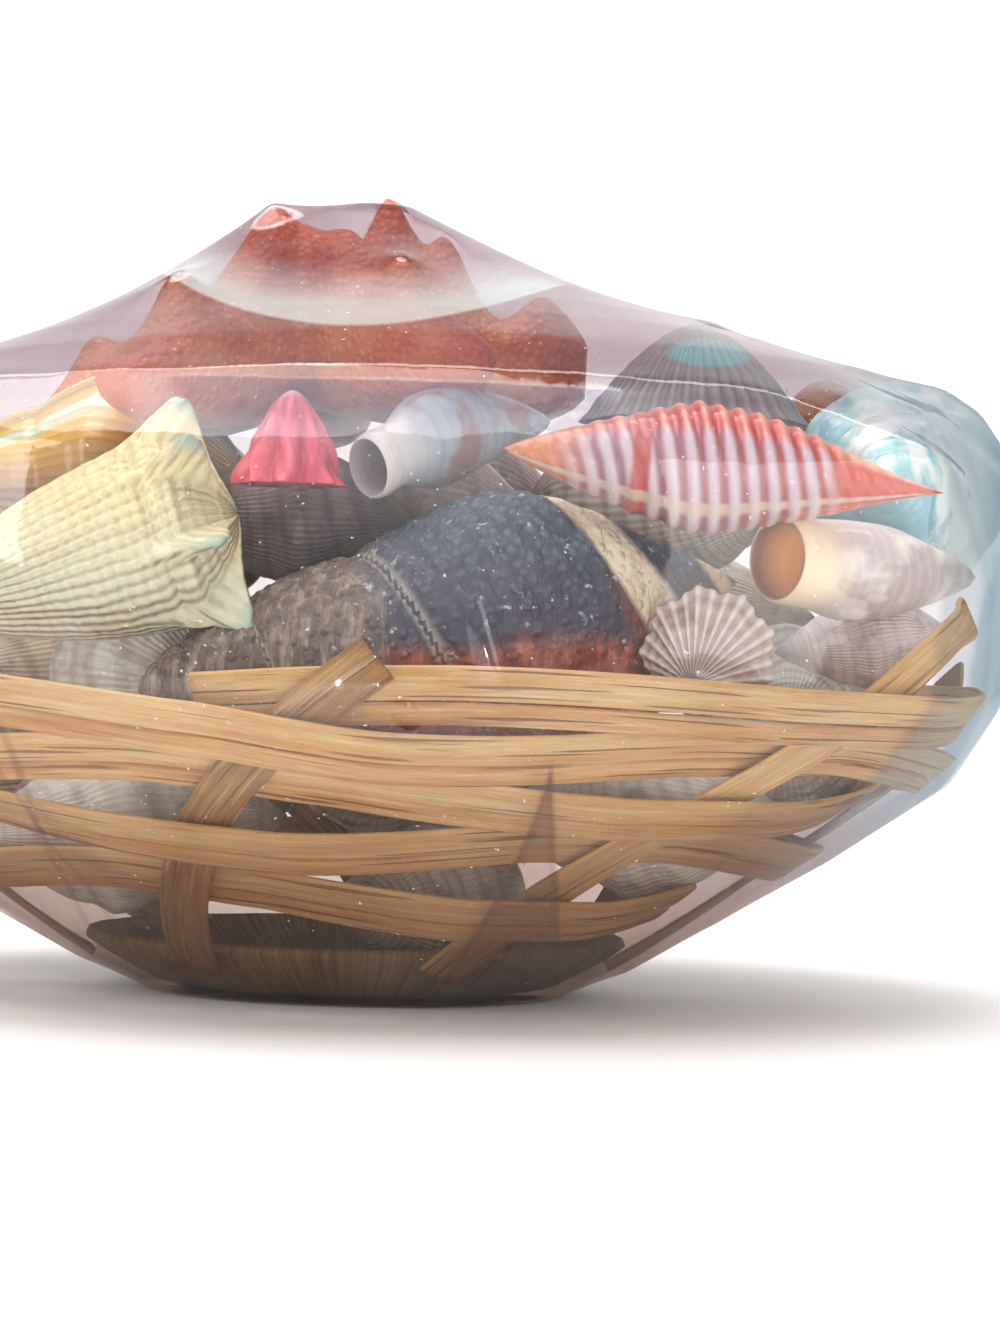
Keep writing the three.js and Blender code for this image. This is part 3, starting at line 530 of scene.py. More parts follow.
def plain_shell_finish(name, ground_tint, band_tint, blotch_tint, bands=3.0, gloss=0.35):
    """Glossy lime: a ground colour with spiral bands, clouded blotches and fine growth lines."""
    made, paint = new_finish(name)
    _, side = laid_map(paint, "shell")
    whorl, _ = laid_map(paint, "coil")
    cloud = noise(paint, ground(paint), 60, 4.0)
    band = ramp((whorl * (TURN * bands) + cloud * 5.0).sine(), 0.1, 0.9)
    growth = (side * (TURN * 70) + cloud * 10).sine()
    spots = ramp(noise(paint, ground(paint), 260, 4.0, 0.6), 0.5, 0.66)
    colour = blend(band * 0.55, ground_tint, band_tint)
    colour = blend(spots * 0.5, colour, blotch_tint)
    colour = blend(ramp(growth, 0.2, 1.0) * 0.18, colour, blotch_tint)
    coated(paint, colour, gloss + spots * 0.2, growth * 0.5 + spots, 0.00012, Coat_Weight=0.25)
    return made


# The columns: name, length, radius, widest place, how much fuller, aim, pale and dark tint.
HEAP = [
    ("under_left_front", 50, 13.5, 0.45, 1, (20, 4, 0), (233, 230, 220), (214, 200, 178)),
    ("under_left_back", 48, 13, 0.6, 1, (170, 0, 40), (217, 203, 180), (186, 150, 116)),
    ("under_middle", 46, 14, 0.55, 1, (55, 0, 0), (207, 192, 178), (160, 132, 112)),
    ("under_right_front", 46, 13, 0.5, 1, (-20, 4, 90), (240, 238, 228), (214, 204, 188)),
    ("under_right_back", 46, 13, 0.55, 1, (15, 4, 20), (216, 198, 172), (176, 142, 104)),
    ("inner_left_end", 44, 13.5, 0.5, 1, (80, 0, 10), (205, 184, 154), (150, 118, 84)),
    ("inner_left", 46, 16, 0.5, 1.12, (-60, 0, 30), (196, 186, 172), (150, 130, 112)),
    ("inner_middle", 52, 15.5, 0.5, 1, (100, 0, 60), (201, 189, 172), (150, 120, 96)),
    ("inner_right", 46, 14, 0.5, 1, (70, 0, 0), (220, 210, 194), (176, 150, 122)),
    ("inner_right_end", 46, 15.5, 0.5, 1, (85, 0, 0), (207, 199, 187), (170, 140, 120)),
    ("back_left", 54, 15, 0.45, 1, (200, 3, 0), (200, 176, 138), (140, 104, 66)),
    ("back_middle", 56, 15, 0.5, 1.3, (185, 0, 80), (166, 142, 126), (112, 84, 70)),
    ("back_right", 54, 15, 0.45, 1, (-20, 4, 0), (214, 199, 178), (180, 140, 100)),
    ("inner_top", 48, 18, 0.5, 1.05, (0, 0, 0), (150, 128, 120), (104, 84, 80)),
    ("inner_top_right", 46, 16.5, 0.5, 1, (150, 0, 0), (191, 184, 174), (150, 130, 118)),
    ("right_end_small", 36, 5, 0.5, 1, (84, 0, 0), (201, 185, 166), (150, 112, 84)),
    ("left_end_small", 38, 7, 0.5, 1, (95, 0, 0), (191, 176, 156), (142, 110, 80)),
    ("left_end_upper", 42, 10.5, 0.5, 1, (98, 0, 0), (211, 196, 168), (170, 132, 86)),
    ("back_upper_left", 50, 18, 0.5, 1.25, (165, 0, 0), (164, 116, 92), (112, 70, 54)),
    ("back_upper_right", 48, 14.5, 0.5, 1.3, (10, 0, 0), (158, 122, 106), (108, 74, 62)),
]
for number, (node, length, radius, widest, fuller, aim, pale, dark) in enumerate(HEAP):
    shape = {"length": length, "radius": radius, "widest": widest, "fuller": fuller, "cords": 4 + number % 4}
    blotch = tint(*[level * 0.72 for level in dark])
    finish = plain_shell_finish(node.replace("_", " "), tint(*pale), tint(*dark), blotch, 2 + number % 4)
    lay(node, "shell_" + node, coiled, shape, aim, (8, 9), (56, 72), finish)

# Banded whelk
# The large whelk lies along the front with its spire to the left: slate blue and granular above,
# with a cream band round its body and a rust-red lower margin, its lime surface dull and worn.
WHELK_SHAPE = {
    "length": 87, "radius": 19, "widest": 0.6, "taper": 0.55, "fall": 1.1, "pace": 2.2, "groove": 0.16,
    "folds": 34, "fold_height": 0.014, "cords": 10, "cord_height": 0.016,
}


def whelk_finish():
    made, paint = new_finish("slate whelk")
    share, _ = laid_map(paint, "shell")
    _, part = laid_map(paint, "coil")
    place = ground(paint)
    across, _, height_up = parts_of(place)
    cloud = noise(paint, place, 60, 4.0)
    wander = cloud * 0.004 - 0.002
    grains = paint.node("TexVoronoi", {}, {"Vector": place, "Scale": 620.0})
    salt = ramp(noise(paint, place, 420, 3.0, 0.6), 0.64, 0.7)
    streaks = ramp(noise(paint, place, 1.0, 4.0, 0.65, (520, 520, 70)), 0.46, 0.66)
    level = height_up + wander * 2.0
    slate = blend(ramp(level, 0.054, 0.076), tint(96, 78, 98), tint(112, 134, 148))
    slate = blend(ramp(cloud, 0.42, 0.62) * 0.55, slate, tint(66, 72, 96))
    slate = blend(ramp(grains, 0.25, 0.6) * 0.55, slate, tint(44, 42, 56))
    rust = blend(ramp(streaks + cloud * 0.4, 0.1, 1.0), tint(134, 58, 38), tint(196, 112, 84))
    spire = blend(streaks, tint(112, 94, 86), tint(176, 158, 142))
    spire = blend(ramp(level, 0.066, 0.074) * 0.7, spire, tint(110, 120, 122))
    colour = blend(ramp(share, 0.36, 0.42), spire, slate)
    colour = blend((1 - ramp(level, 0.0525, 0.0555)) * ramp(across, 0.004, 0.008), colour, rust)
    # The cream band runs down the body at a slant and bulges to the right half-way down.
    bulge = 1 - ((height_up - 0.0646) / 0.0135) * ((height_up - 0.0646) / 0.0135)
    along_body = across + (height_up - 0.0511) * 0.753 - bulge * 0.0028 + wander * 0.5
    band = ramp(along_body, 0.0438, 0.0448) * (1 - ramp(along_body, 0.0500, 0.0512))
    bright = blend(ramp(level, 0.050, 0.058), tint(226, 160, 88), tint(236, 220, 192))
    bright = blend(ramp(streaks, 0.3, 1.0) * 0.3, bright, tint(206, 140, 92))
    edge = ramp(along_body, 0.0412, 0.0438) * (1 - ramp(along_body, 0.0438, 0.0446))
    colour = blend(edge * (1 - ramp(level, 0.056, 0.066)), colour, tint(150, 66, 38))
    past = ramp(along_body, 0.0505, 0.053) * (1 - ramp(level, 0.056, 0.066))
    colour = blend(past * 0.8, colour, tint(122, 62, 52))
    colour = blend(band, colour, bright)
    second = ramp(along_body, 0.0578, 0.0588) * (1 - ramp(along_body, 0.0606, 0.0618))
    colour = blend(second, colour, tint(222, 196, 156))
    seam = 1 - ramp(part, 0.0, 0.05) + ramp(part, 0.965, 1.0)
    colour = blend(seam * (1 - ramp(share, 0.5, 0.56)) * 0.8, colour, tint(200, 190, 172))
    colour = blend(salt * 0.75, colour, tint(206, 212, 222))
    height = 1 - ramp(grains, 0.0, 0.5) + streaks * 0.5 - salt * 0.4
    coated(paint, colour, 0.42 + cloud * 0.2, height, 0.0006)
    return made


lay("banded_whelk", "shell_whelk", coiled, WHELK_SHAPE, (9, 12, -60), (15, 14), (260, 170), whelk_finish())

# Cream shell
# A thick cream shell with knobbed shoulders lies at the left, its apex up and to the right.
# Fine wavy growth lines run over it, brown pits mark the shoulder and the tips are teal.
CREAM_SHAPE = {
    "length": 48, "radius": 13.5, "widest": 0.16, "taper": 0.6, "fall": 0.8,
    "spines": 7, "spine_height": 5, "spine_lean": 5,
    "folds": 14, "fold_height": 0.012, "cords": 3, "cord_height": 0.004,
}


def cream_finish():
    made, paint = new_finish("cream shell")
    share, side = laid_map(paint, "shell")
    tip, _ = laid_map(paint, "spine")
    place = ground(paint)
    height_up = parts_of(place)[2]
    cloud = noise(paint, place, 60, 4.0)
    lines = (side * (TURN * 42) + share * 14 + cloud * 13).sine()
    fine_lines = (share * (TURN * 26) + cloud * 16).sine()
    level = ramp(height_up + cloud * 0.01, 0.058, 0.08)
    colour = blend(level, tint(230, 232, 214), tint(244, 228, 172))
    colour = blend(ramp(cloud, 0.52, 0.66) * 0.5, colour, tint(240, 206, 150))
    colour = blend(ramp(lines, 0.35, 1.0) * 0.3, colour, tint(196, 176, 132))
    colour = blend(ramp(fine_lines, 0.5, 1.0) * 0.18, colour, tint(160, 152, 124))
    colour = blend(ramp(tip, 0.6, 0.9) * 0.7, colour, tint(140, 190, 174))
    pits = ramp(noise(paint, place, 150, 2.0), 0.69, 0.73)
    colour = blend(pits * 0.85, colour, tint(116, 76, 48))
    height = lines * 0.6 + fine_lines * 0.4 - pits * 2.0
    coated(paint, colour, 0.38 + cloud * 0.2, height, 0.0004, Coat_Weight=0.25)
    return made


lay("cream_shell", "shell_cream", coiled, CREAM_SHAPE, (184, -18, 90), (10, 21), (200, 210), cream_finish())

# Striped shell
# A glossy olive and brown shell lies high at the left, with a golden band and a pale cyan stripe.
# Its lime wall is smooth and polished, and it carries the left arms of the sea star.
STRIPED_SHAPE = {"length": 56, "radius": 18.7, "widest": 0.6, "canal": 0.62, "cords": 6, "cord_height": 0.003}
STRIPES = [
    (0.0, tint(150, 118, 90)), (0.05, tint(196, 150, 84)), (0.09, tint(226, 176, 62)),
    (0.12, tint(206, 226, 206)), (0.14, tint(222, 178, 70)), (0.17, tint(176, 132, 56)),
    (0.2, tint(226, 184, 84)), (0.23, tint(160, 118, 60)), (0.27, tint(206, 164, 84)),
    (0.34, tint(150, 112, 70)), (1.0, tint(140, 118, 108)),
]


def striped_finish():
    made, paint = new_finish("striped shell")
    share, side = laid_map(paint, "shell")
    place = ground(paint)
    cloud = noise(paint, place, 70, 4.0)
    level = 0.545 - side + cloud * 0.03 - share * 0.1
    colour = paint.node("ValToRGB", {"stops": STRIPES}, {0: level})
    colour = blend(1 - ramp(share, 0.12, 0.26), colour, tint(204, 160, 76))
    lines = (side * (TURN * 60) + cloud * 10).sine()
    colour = blend(ramp(lines, 0.4, 1.0) * 0.22, colour, tint(92, 64, 40))
    coated(paint, colour, 0.22 + cloud * 0.15, lines, 0.00008, Coat_Weight=0.6)
    return made


striped = striped_finish()
lay("striped_shell", "shell_striped", coiled, STRIPED_SHAPE, (-4, 0, 0), (8, 12), (140, 120), striped)

# Dark shell
# A small dark shell fills the shadowed gap between the cream shell and the whelk. It is of
# grey-brown lime with fine growth lines, and is wedged between its neighbours.
DARK_SHAPE = {"length": 38, "radius": 9, "widest": 0.5, "fuller": 1.2}
dark_finish = plain_shell_finish("dark shell", tint(128, 112, 112), tint(96, 80, 84), tint(70, 58, 62), 3)
lay("dark_shell", "shell_dark", coiled, DARK_SHAPE, (10, 0, 0), (8, 9), (64, 80), dark_finish)

# Pink shell
# A small coral-pink ribbed valve stands on edge in front, its apex white and its ribs lobed.
# Its thick lime is dull and a little rough, and it leans on the shells behind it.
PINK_SHAPE = {
    "height": 13.5, "radius": 7.2, "ribs": 8, "rib_height": 0.12,
    "power": 0.55, "fine_ribs": 24, "lumps": 0.13,
}


def pink_finish():
    made, paint = new_finish("coral pink")
    share, side = laid_map(paint, "shell")
    cloud = noise(paint, ground(paint), 160, 3.0)
    lobes = (side * (TURN * 8)).cosine()
    colour = blend(ramp(lobes, -1, 1), tint(200, 44, 72), tint(238, 84, 106))
    colour = blend(1 - ramp(share + cloud * 0.2, 0.1, 0.36), colour, tint(250, 216, 214))
    colour = blend(ramp(cloud, 0.5, 0.68) * 0.6, colour, tint(250, 140, 152))
    coated(paint, colour, 0.4, cloud, 0.0002, Coat_Weight=0.3)
    return made


lay("pink_shell", "shell_pink", domed, PINK_SHAPE, (0, -90, 0), (5, 16), (60, 144), pink_finish())

# Mottled shell
# A little white shell with pink and lilac blotches is wedged low at the right, between the
# rim of the basket and the shell over it. Its thin lime wall has fine growth lines.
MOTTLED_SHAPE = {"length": 27, "radius": 7.6, "widest": 0.5}
mottled = plain_shell_finish(
    "mottled shell", tint(236, 226, 222), tint(226, 186, 190), tint(168, 122, 142), 3
)
lay("mottled_shell", "shell_mottled", coiled, MOTTLED_SHAPE, (8, 8, 0), (8, 9), (80, 84), mottled)

# Fan shell
# A beige fan-shaped valve with radiating ribs leans against the whelk's right end. It is thin
# lime, and is drawn a little smaller than its solid, so that the whelk's band stays in sight.
FAN_SHAPE = {
    "height": 6, "radius": 10.5, "fuller": 0.86, "ribs": 9, "rib_height": 0.05,
    "power": 0.5, "lean": 0.5, "fine_ribs": 27, "fine_height": 0.02,
}


def fan_finish():
    made, paint = new_finish("fan shell")
    share, side = laid_map(paint, "shell")
    cloud = noise(paint, ground(paint), 90, 3.0)
    ribs = (side * (TURN * 27)).cosine()
    rings = (share * (TURN * 6) + cloud * 4).sine()
    colour = blend(ramp(ribs, -0.6, 0.8), tint(178, 150, 140), tint(226, 208, 190))
    colour = blend(ramp(rings, 0.3, 0.9) * 0.4, colour, tint(190, 178, 190))
    coated(paint, colour, 0.45, ribs * 0.6 + rings * 0.4, 0.0003)
    return made


lay("fan_shell", "shell_fan", domed, FAN_SHAPE, (90, 0, 120), (4, 18), (50, 162), fan_finish())

# Shells with open mouths
# Two small shells show their round mouths: one lipped in cream over a golden-orange throat,
# the other grey-white and curled. Their walls are turned inwards at the lip and end in a throat.
# Each pair: a share of the length, and of the radius, from the throat out and along the shell.
MOUTH_PROFILE = np.array(
    [
        [0.3, 0.38], [0.12, 0.68], [0.02, 0.8], [0, 0.9], [0.04, 1], [0.16, 0.98],
        [0.32, 1], [0.5, 0.92], [0.68, 0.7], [0.84, 0.42], [0.95, 0.2],
    ]
)


def mouthed(s, rings, sides, fine=0.0):
    """A shell from its throat out over its lip and on to its closed tapering end."""
    profile = MOUTH_PROFILE.copy()
    profile[6:, 1] *= s.get("belly", 1.1)
    if fine:
        stations = np.linspace(0, len(profile) - 1, rings)
        places = np.arange(len(profile))
        profile = np.stack([along(np.stack([places, profile[:, n]], 1), stations) for n in (0, 1)], 1)
    a = TURN * np.arange(sides + 1) / sides
    u, share = profile[:, :1] + 0 * a, profile[:, 1:] + 0 * a
    a = a + 0 * u
    r = s["radius"] * share * (1 + s.get("flare", 0) * np.cos(a - 1) * bell(u, 0.2))
    if fine:
        r = r * (1 + 0.02 * np.cos(a * 3 + u * 14) * np.sin(np.pi * np.clip(u, 0, 1)))
    bend = s.get("bend", 0) * s["length"]
    shown = np.stack([s["length"] * u, r * np.cos(a), r * np.sin(a) + bend * np.sin(np.pi * u)], 2)
    station = np.linspace(0, 1, len(profile))[:, None] + 0 * a
    maps = {"shell": np.stack([station, a / TURN], 2), "coil": np.stack([u, a / TURN], 2)}
    ends = [(s["length"] * u0, 0, bend * math.sin(math.pi * u0)) for u0 in (0.38, 1)]
    return shown[:, :-1], *ends, maps


def mouth_finish(name, throat, rim, lip, body, blotch):
    """A throat colour inside, a dark rim, a pale lip, and a blotched body."""
    made, paint = new_finish(name)
    station, _ = laid_map(paint, "shell")
    cloud = noise(paint, ground(paint), 110, 4.0)
    colour = blend(ramp(cloud, 0.5, 0.62), body, blotch)
    lines = (station * (TURN * 30) + cloud * 6).sine()
    colour = blend(ramp(lines, 0.2, 1) * 0.25, colour, blotch)
    colour = blend(1 - ramp(station, 0.46, 0.56), colour, lip)
    colour = blend(1 - ramp(station, 0.24, 0.3), colour, rim)
    colour = blend(1 - ramp(station, 0.1, 0.2), colour, throat)
    coated(paint, colour, 0.35 + cloud * 0.2, lines * 0.12 + cloud, 0.00015, Coat_Weight=0.3)
    return made


ORANGE_SHAPE = {"length": 38, "radius": 6.6, "flare": 0.25}
CURLED_SHAPE = {"length": 35, "radius": 4.8, "belly": 1.45, "bend": 0.06}
orange = mouth_finish(
    "orange mouth",
    tint(250, 184, 84), tint(140, 70, 32), tint(246, 226, 190), tint(198, 180, 180), tint(232, 220, 212),
)
curled = mouth_finish(
    "curled shell",
    tint(118, 102, 112), tint(186, 172, 176), tint(226, 218, 216), tint(160, 170, 180), tint(150, 96, 88),
)
lay("orange_mouth_shell", "shell_orange_mouth", mouthed, ORANGE_SHAPE, (35, 0, 0), (11, 12), (90, 96), orange)
lay("curled_shell", "shell_curled", mouthed, CURLED_SHAPE, (40, 15, 0), (11, 12), (90, 96), curled)

# Turquoise shell
# A round shell at the right end, pale mint above, blue in the middle and mottled white behind.
# Its glossy lime fills the end of the film, which is drawn tight over it.
TURQUOISE_SHAPE = {"length": 48, "radius": 17.5, "canal": 0.3, "cords": 8, "cord_height": 0.004}


def turquoise_finish():
    made, paint = new_finish("turquoise shell")
    place = ground(paint)
    across, _, height_up = parts_of(place)
    cloud = noise(paint, place, 75, 4.0, 0.6)
    level = ramp(height_up - across * 0.5 + cloud * 0.01, 0.03, 0.06)
    colour = blend(level, tint(92, 160, 184), tint(176, 224, 216))
    colour = blend(ramp(cloud, 0.36, 0.46) * 0.6 + 0.4, tint(130, 176, 208), colour)
    flecks = noise(paint, place, 1.0, 4.0, 0.6, (90, 90, 40))
    white = ramp(flecks + ramp(across, 0.076, 0.09) * 0.2, 0.54, 0.62)
    colour = blend(white, colour, tint(228, 236, 232))
    colour = blend(ramp(across, 0.094, 0.099) * 0.7, colour, tint(52, 146, 178))
    coated(paint, colour, 0.3, cloud, 0.0004, Coat_Weight=0.4)
    return made


turquoise = turquoise_finish()
lay("turquoise_shell", "shell_turquoise", coiled, TURQUOISE_SHAPE, (82, 0, 0), (10, 12), (120, 96), turquoise)

# Spindle shell
# A long spindle with raised ribs lies high at the right: lilac ribs, red grooves between,
# one strong red stripe, and red-orange tips.
SPINDLE_RIBS, SPINDLE_SLANT = 22, 0.6
SPINDLE_SHAPE = {
    "length": 62, "radius": 9.2, "widest": 0.42, "fall": 1.4, "canal": 0.06, "groove": 0.05,
    "fold_height": 0.0, "cord_height": 0.0,
    "cross_ribs": SPINDLE_RIBS, "cross_slant": SPINDLE_SLANT, "cross_height": 0.035,
}


def spindle_finish():
    made, paint = new_finish("spindle shell")
    share, side = laid_map(paint, "shell")
    place = ground(paint)
    cloud = noise(paint, place, 80, 4.0)
    ribs = (share * (TURN * SPINDLE_RIBS) + (side * TURN).sine() * (TURN * SPINDLE_SLANT)).cosine()
    white = ramp(ribs + cloud * 1.6, 0.0, 1.3)
    groove = blend(ramp(share, 0.3, 0.7), tint(164, 106, 120), tint(184, 84, 80))
    low_side = blend(white, groove, tint(218, 196, 206))
    high_side = blend(ramp(ribs + cloud * 2, 0.6, 1.8), tint(196, 66, 58), tint(228, 140, 116))
    crest = 1 - ramp(side + cloud * 0.1, 0.26, 0.33)
    high_side = blend(crest, high_side, tint(226, 184, 178))
    colour = blend(ramp(side + cloud * 0.08, 0.41, 0.46), high_side, low_side)
    stripe = ramp(share, 0.275, 0.285) * (1 - ramp(share, 0.315, 0.325))
    colour = blend(stripe * 0.85, colour, tint(196, 62, 48))
    tail = ramp(share + cloud * 0.06, 0.74, 0.8)
    tail_colour = blend(ramp(side, 0.36, 0.42), tint(232, 160, 130), tint(214, 84, 62))
    colour = blend(tail, colour, tail_colour)
    colour = blend(1 - ramp(share, 0.1, 0.2), colour, tint(222, 132, 76))
    lip = ramp(side, 0.6, 0.61)
    colour = blend(lip * (1 - ramp(side, 0.64, 0.66)) * 0.75, colour, tint(218, 204, 184))
    coated(paint, colour, 0.3, ribs * 0.3 + cloud, 0.0003, Coat_Weight=0.4)
    return made


lay("spindle_shell", "shell_spindle", coiled, SPINDLE_SHAPE, (3, -4, 0), (14, 9), (320, 96), spindle_finish())

# Dome shell
# A grey limpet sits on top at the right, with fine ribs, a knob and a turquoise reflection painted on it.
# Its low cone of dull lime lies mouth down on the spindle and the shells behind it.
DOME_SHAPE = {
    "height": 16, "radius": 17.5, "ribs": 8, "rib_height": 0.03,
    "power": 0.6, "fine_ribs": 40, "fine_height": 0.012,
}


def dome_finish():
    made, paint = new_finish("grey limpet")
    share, side = laid_map(paint, "shell")
    cloud = noise(paint, ground(paint), 110, 4.0)
    ribs = (side * (TURN * 40)).cosine()
    colour = blend(ramp(ribs + cloud, 0.0, 1.4), tint(128, 116, 120), tint(146, 138, 142))
    colour = blend(ramp(cloud, 0.52, 0.62) * 0.5, colour, tint(116, 146, 156))
    # One turquoise patch, a painted reflection, lies in front just under the knob.
    across, back, height_up = parts_of(ground(paint))
    off, rise = (across - 0.0525) / 0.0068, (height_up - 0.1002) / 0.0026
    painted_reflection = 1 - ramp(off * off + rise * rise + cloud * 0.6, 0.9, 1.4)
    colour = blend(painted_reflection * (1 - ramp(back, -0.002, 0.004)), colour, tint(104, 200, 204))
    colour = blend(1 - ramp(share, 0.12, 0.24), colour, tint(176, 160, 170))
    coated(paint, colour, 0.5, ribs * 0.4 + cloud, 0.0003)
    return made


lay("dome_shell", "shell_dome", domed, DOME_SHAPE, (0, -90, 0), (5, 16), (60, 160), dome_finish())

# Brown shell
# A small orange-brown shell lies behind the grey limpet. It is of banded lime, and fills the
# corner between the limpet and the turquoise shell under the film.
BROWN_SHAPE = {"length": 28, "radius": 6, "widest": 0.5}
brown = plain_shell_finish("brown shell", tint(196, 120, 70), tint(150, 84, 48), tint(100, 56, 36), 4)
lay("brown_shell", "shell_brown", coiled, BROWN_SHAPE, (60, 6, 0), (8, 9), (80, 84), brown)

# Sea star
# A dried five-armed sea star lies on top of the heap, its arms drooping over the shells.
# Its skin is orange-red and granular, with blunt spines in rows and paler tips.
STAR_TURN = 162
STAR_INNER, STAR_OUTER = 16, 46
STAR_THICK, STAR_UNDER, STAR_DROOP = 15.5, 4, 9
STAR_FULLER = 7
STAR_TILT = 4.5
# Each knob: its place across and along the star, its height and its width.
STAR_KNOBS = np.array(
    [
        [-3.5, -9, 7.5, 6.8], [14, 4, 12.5, 4.6], [22.5, 7, 10.5, 4.2], [0, 14, 5, 5],
        [8, -12, 5, 5], [43, 14, 5, 5], [-21, 7, 7, 4.5], [-35, 11, 5, 4],
        [37.5, 9, 8, 5.5], [16, -24, 6, 4.5], [-17, -25, 6, 4.5], [0, 28, 6, 4.5],
    ]
)


def star(share_rows, below_rows, sides, fine=0.0):
    """The star's surface in polar rows: five arms swell with a power of a cosine, the top is
    rounded over each arm and raised in knobs, the whole droops from its middle to its tips.
    The underside that is seen reaches deeper than the solid's, so that no light passes under it."""
    a = TURN * np.arange(sides + 1) / sides
    wave = np.abs(np.cos(2.5 * (a - math.radians(STAR_TURN))))
    reach = STAR_INNER + (STAR_OUTER - STAR_INNER) * wave**2.4
    depth = STAR_UNDER + STAR_FULLER * fine

    def rows(shares, upper):
        r = shares[:, None] * reach
        x, y = r * np.cos(a), r * np.sin(a)
        edge = np.sqrt(np.maximum(1 - shares[:, None] ** 2, 0)) + 0 * a
        z = STAR_DROOP * ((1 - np.minimum(r / STAR_OUTER, 1)) ** 1.6 - 1)
        if not upper:
            return np.stack([x, y, z - depth * edge], 2), r
        z = z + STAR_THICK * edge * (1 - 0.45 * r / STAR_OUTER)
        for kx, ky, kh, kw in STAR_KNOBS:
            z = z + kh * bell(np.hypot(x - kx, y - ky), kw)
        if fine:
            grain = np.sin(x * 2.1 + np.sin(y * 1.3)) * np.sin(y * 2.3 + np.sin(x * 1.7))
            z = z + 0.22 * np.maximum(grain, 0) ** 2 * edge
        return np.stack([x, y, z], 2), r

    top, r_top = rows(share_rows, True)
    under, r_under = rows(below_rows, False)
    peak = STAR_THICK + sum(kh * bell(math.hypot(kx, ky), kw) for kx, ky, kh, kw in STAR_KNOBS)
    whole = np.concatenate([top, under])
    out = np.concatenate([r_top, r_under]) / STAR_OUTER
    maps = {"shell": np.stack([out, a / TURN + 0 * out], 2)}
    return whole[:, :-1], (0, 0, peak), (0, 0, -depth), maps


def star_finish():
    made, paint = new_finish("sea star")
    place = ground(paint)
    height_up = parts_of(place)[2]
    cloud = noise(paint, place, 50, 4.0)
    grains = paint.node("TexVoronoi", {}, {"Vector": place, "Scale": 700.0})
    out, _ = laid_map(paint, "shell")
    colour = blend(ramp(cloud, 0.35, 0.6), tint(246, 168, 110), tint(234, 128, 76))
    colour = blend(ramp(height_up + cloud * 0.02, 0.117, 0.128) * 0.85, colour, tint(238, 112, 60))
    crimson = ramp(noise(paint, place, 85, 3.0), 0.55, 0.66) + ramp(out + cloud * 0.3, 0.82, 1.1)
    colour = blend(ramp(crimson, 0, 1) * 0.6, colour, tint(190, 48, 52))
    colour = blend(ramp(grains, 0.3, 0.6) * 0.25, colour, tint(166, 78, 48))
    height = 1 - ramp(grains, 0.05, 0.6)
    coated(paint, colour, 0.5, height + cloud * 0.5, 0.0004, Coat_Weight=0.3, Coat_Roughness=0.3)
    return made


star_shares = np.array([0.13, 0.27, 0.41, 0.55, 0.69, 0.83, 0.94, 1])
star_aim = (0, STAR_TILT, 0)
rings, first, last, _ = star(star_shares, np.array([0.8, 0.4]), 30)
coarse = aimed(np.concatenate([rings.reshape(-1, 3), [first], [last]]), 0, *star_aim)
star_moved = np.array(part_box("sea_star")[0]) - coarse.min(0) / 1000
fine_shares = np.sin(np.linspace(0.03, 1, 90) * np.pi / 2)
rings, first, last, star_maps = star(fine_shares, np.linspace(0.98, 0.05, 24), 330, 1.0)
rings, first, last = (aimed(part, 0, *star_aim) / 1000 + star_moved for part in (rings, first, last))
points, faces, corners = skin(rings, first, last, star_maps)
put("red_sea_star", points, faces, corners, star_finish(), "sea_star")

# Shrink film
# Thin clear film is drawn tight over the heap and folded flat under the basket. It is one closed
# bag: glossy, faintly smoky, milky where it bridges, with a pale reflection painted over the star
# and pleats gathered low in front.
HEART = np.array([0, 0, 0.05])
LEFT_SINK = 0.006
TAUT_ROUNDS = 260
OFF_HEAP, OFF_SOLID = 0.0006, 0.0003
LOOSE_LOW, LOOSE_HIGH = 0.0008, 0.005
RAY_LENGTH = 0.2
# Each pair: half the bag's length, and the height, in mm.
FILM_ROWS = np.array(
    [
        [31.8, 0], [43, 4.6], [57, 12.5], [72, 23], [88, 34.8], [98, 47], [101.5, 63], [99.5, 80],
        [92, 92], [75, 98], [60, 101.5], [47, 104.5], [36.5, 107.5], [27.5, 111.5], [20, 115.5],
        [13, 118.5], [6, 119.8],
    ]
)


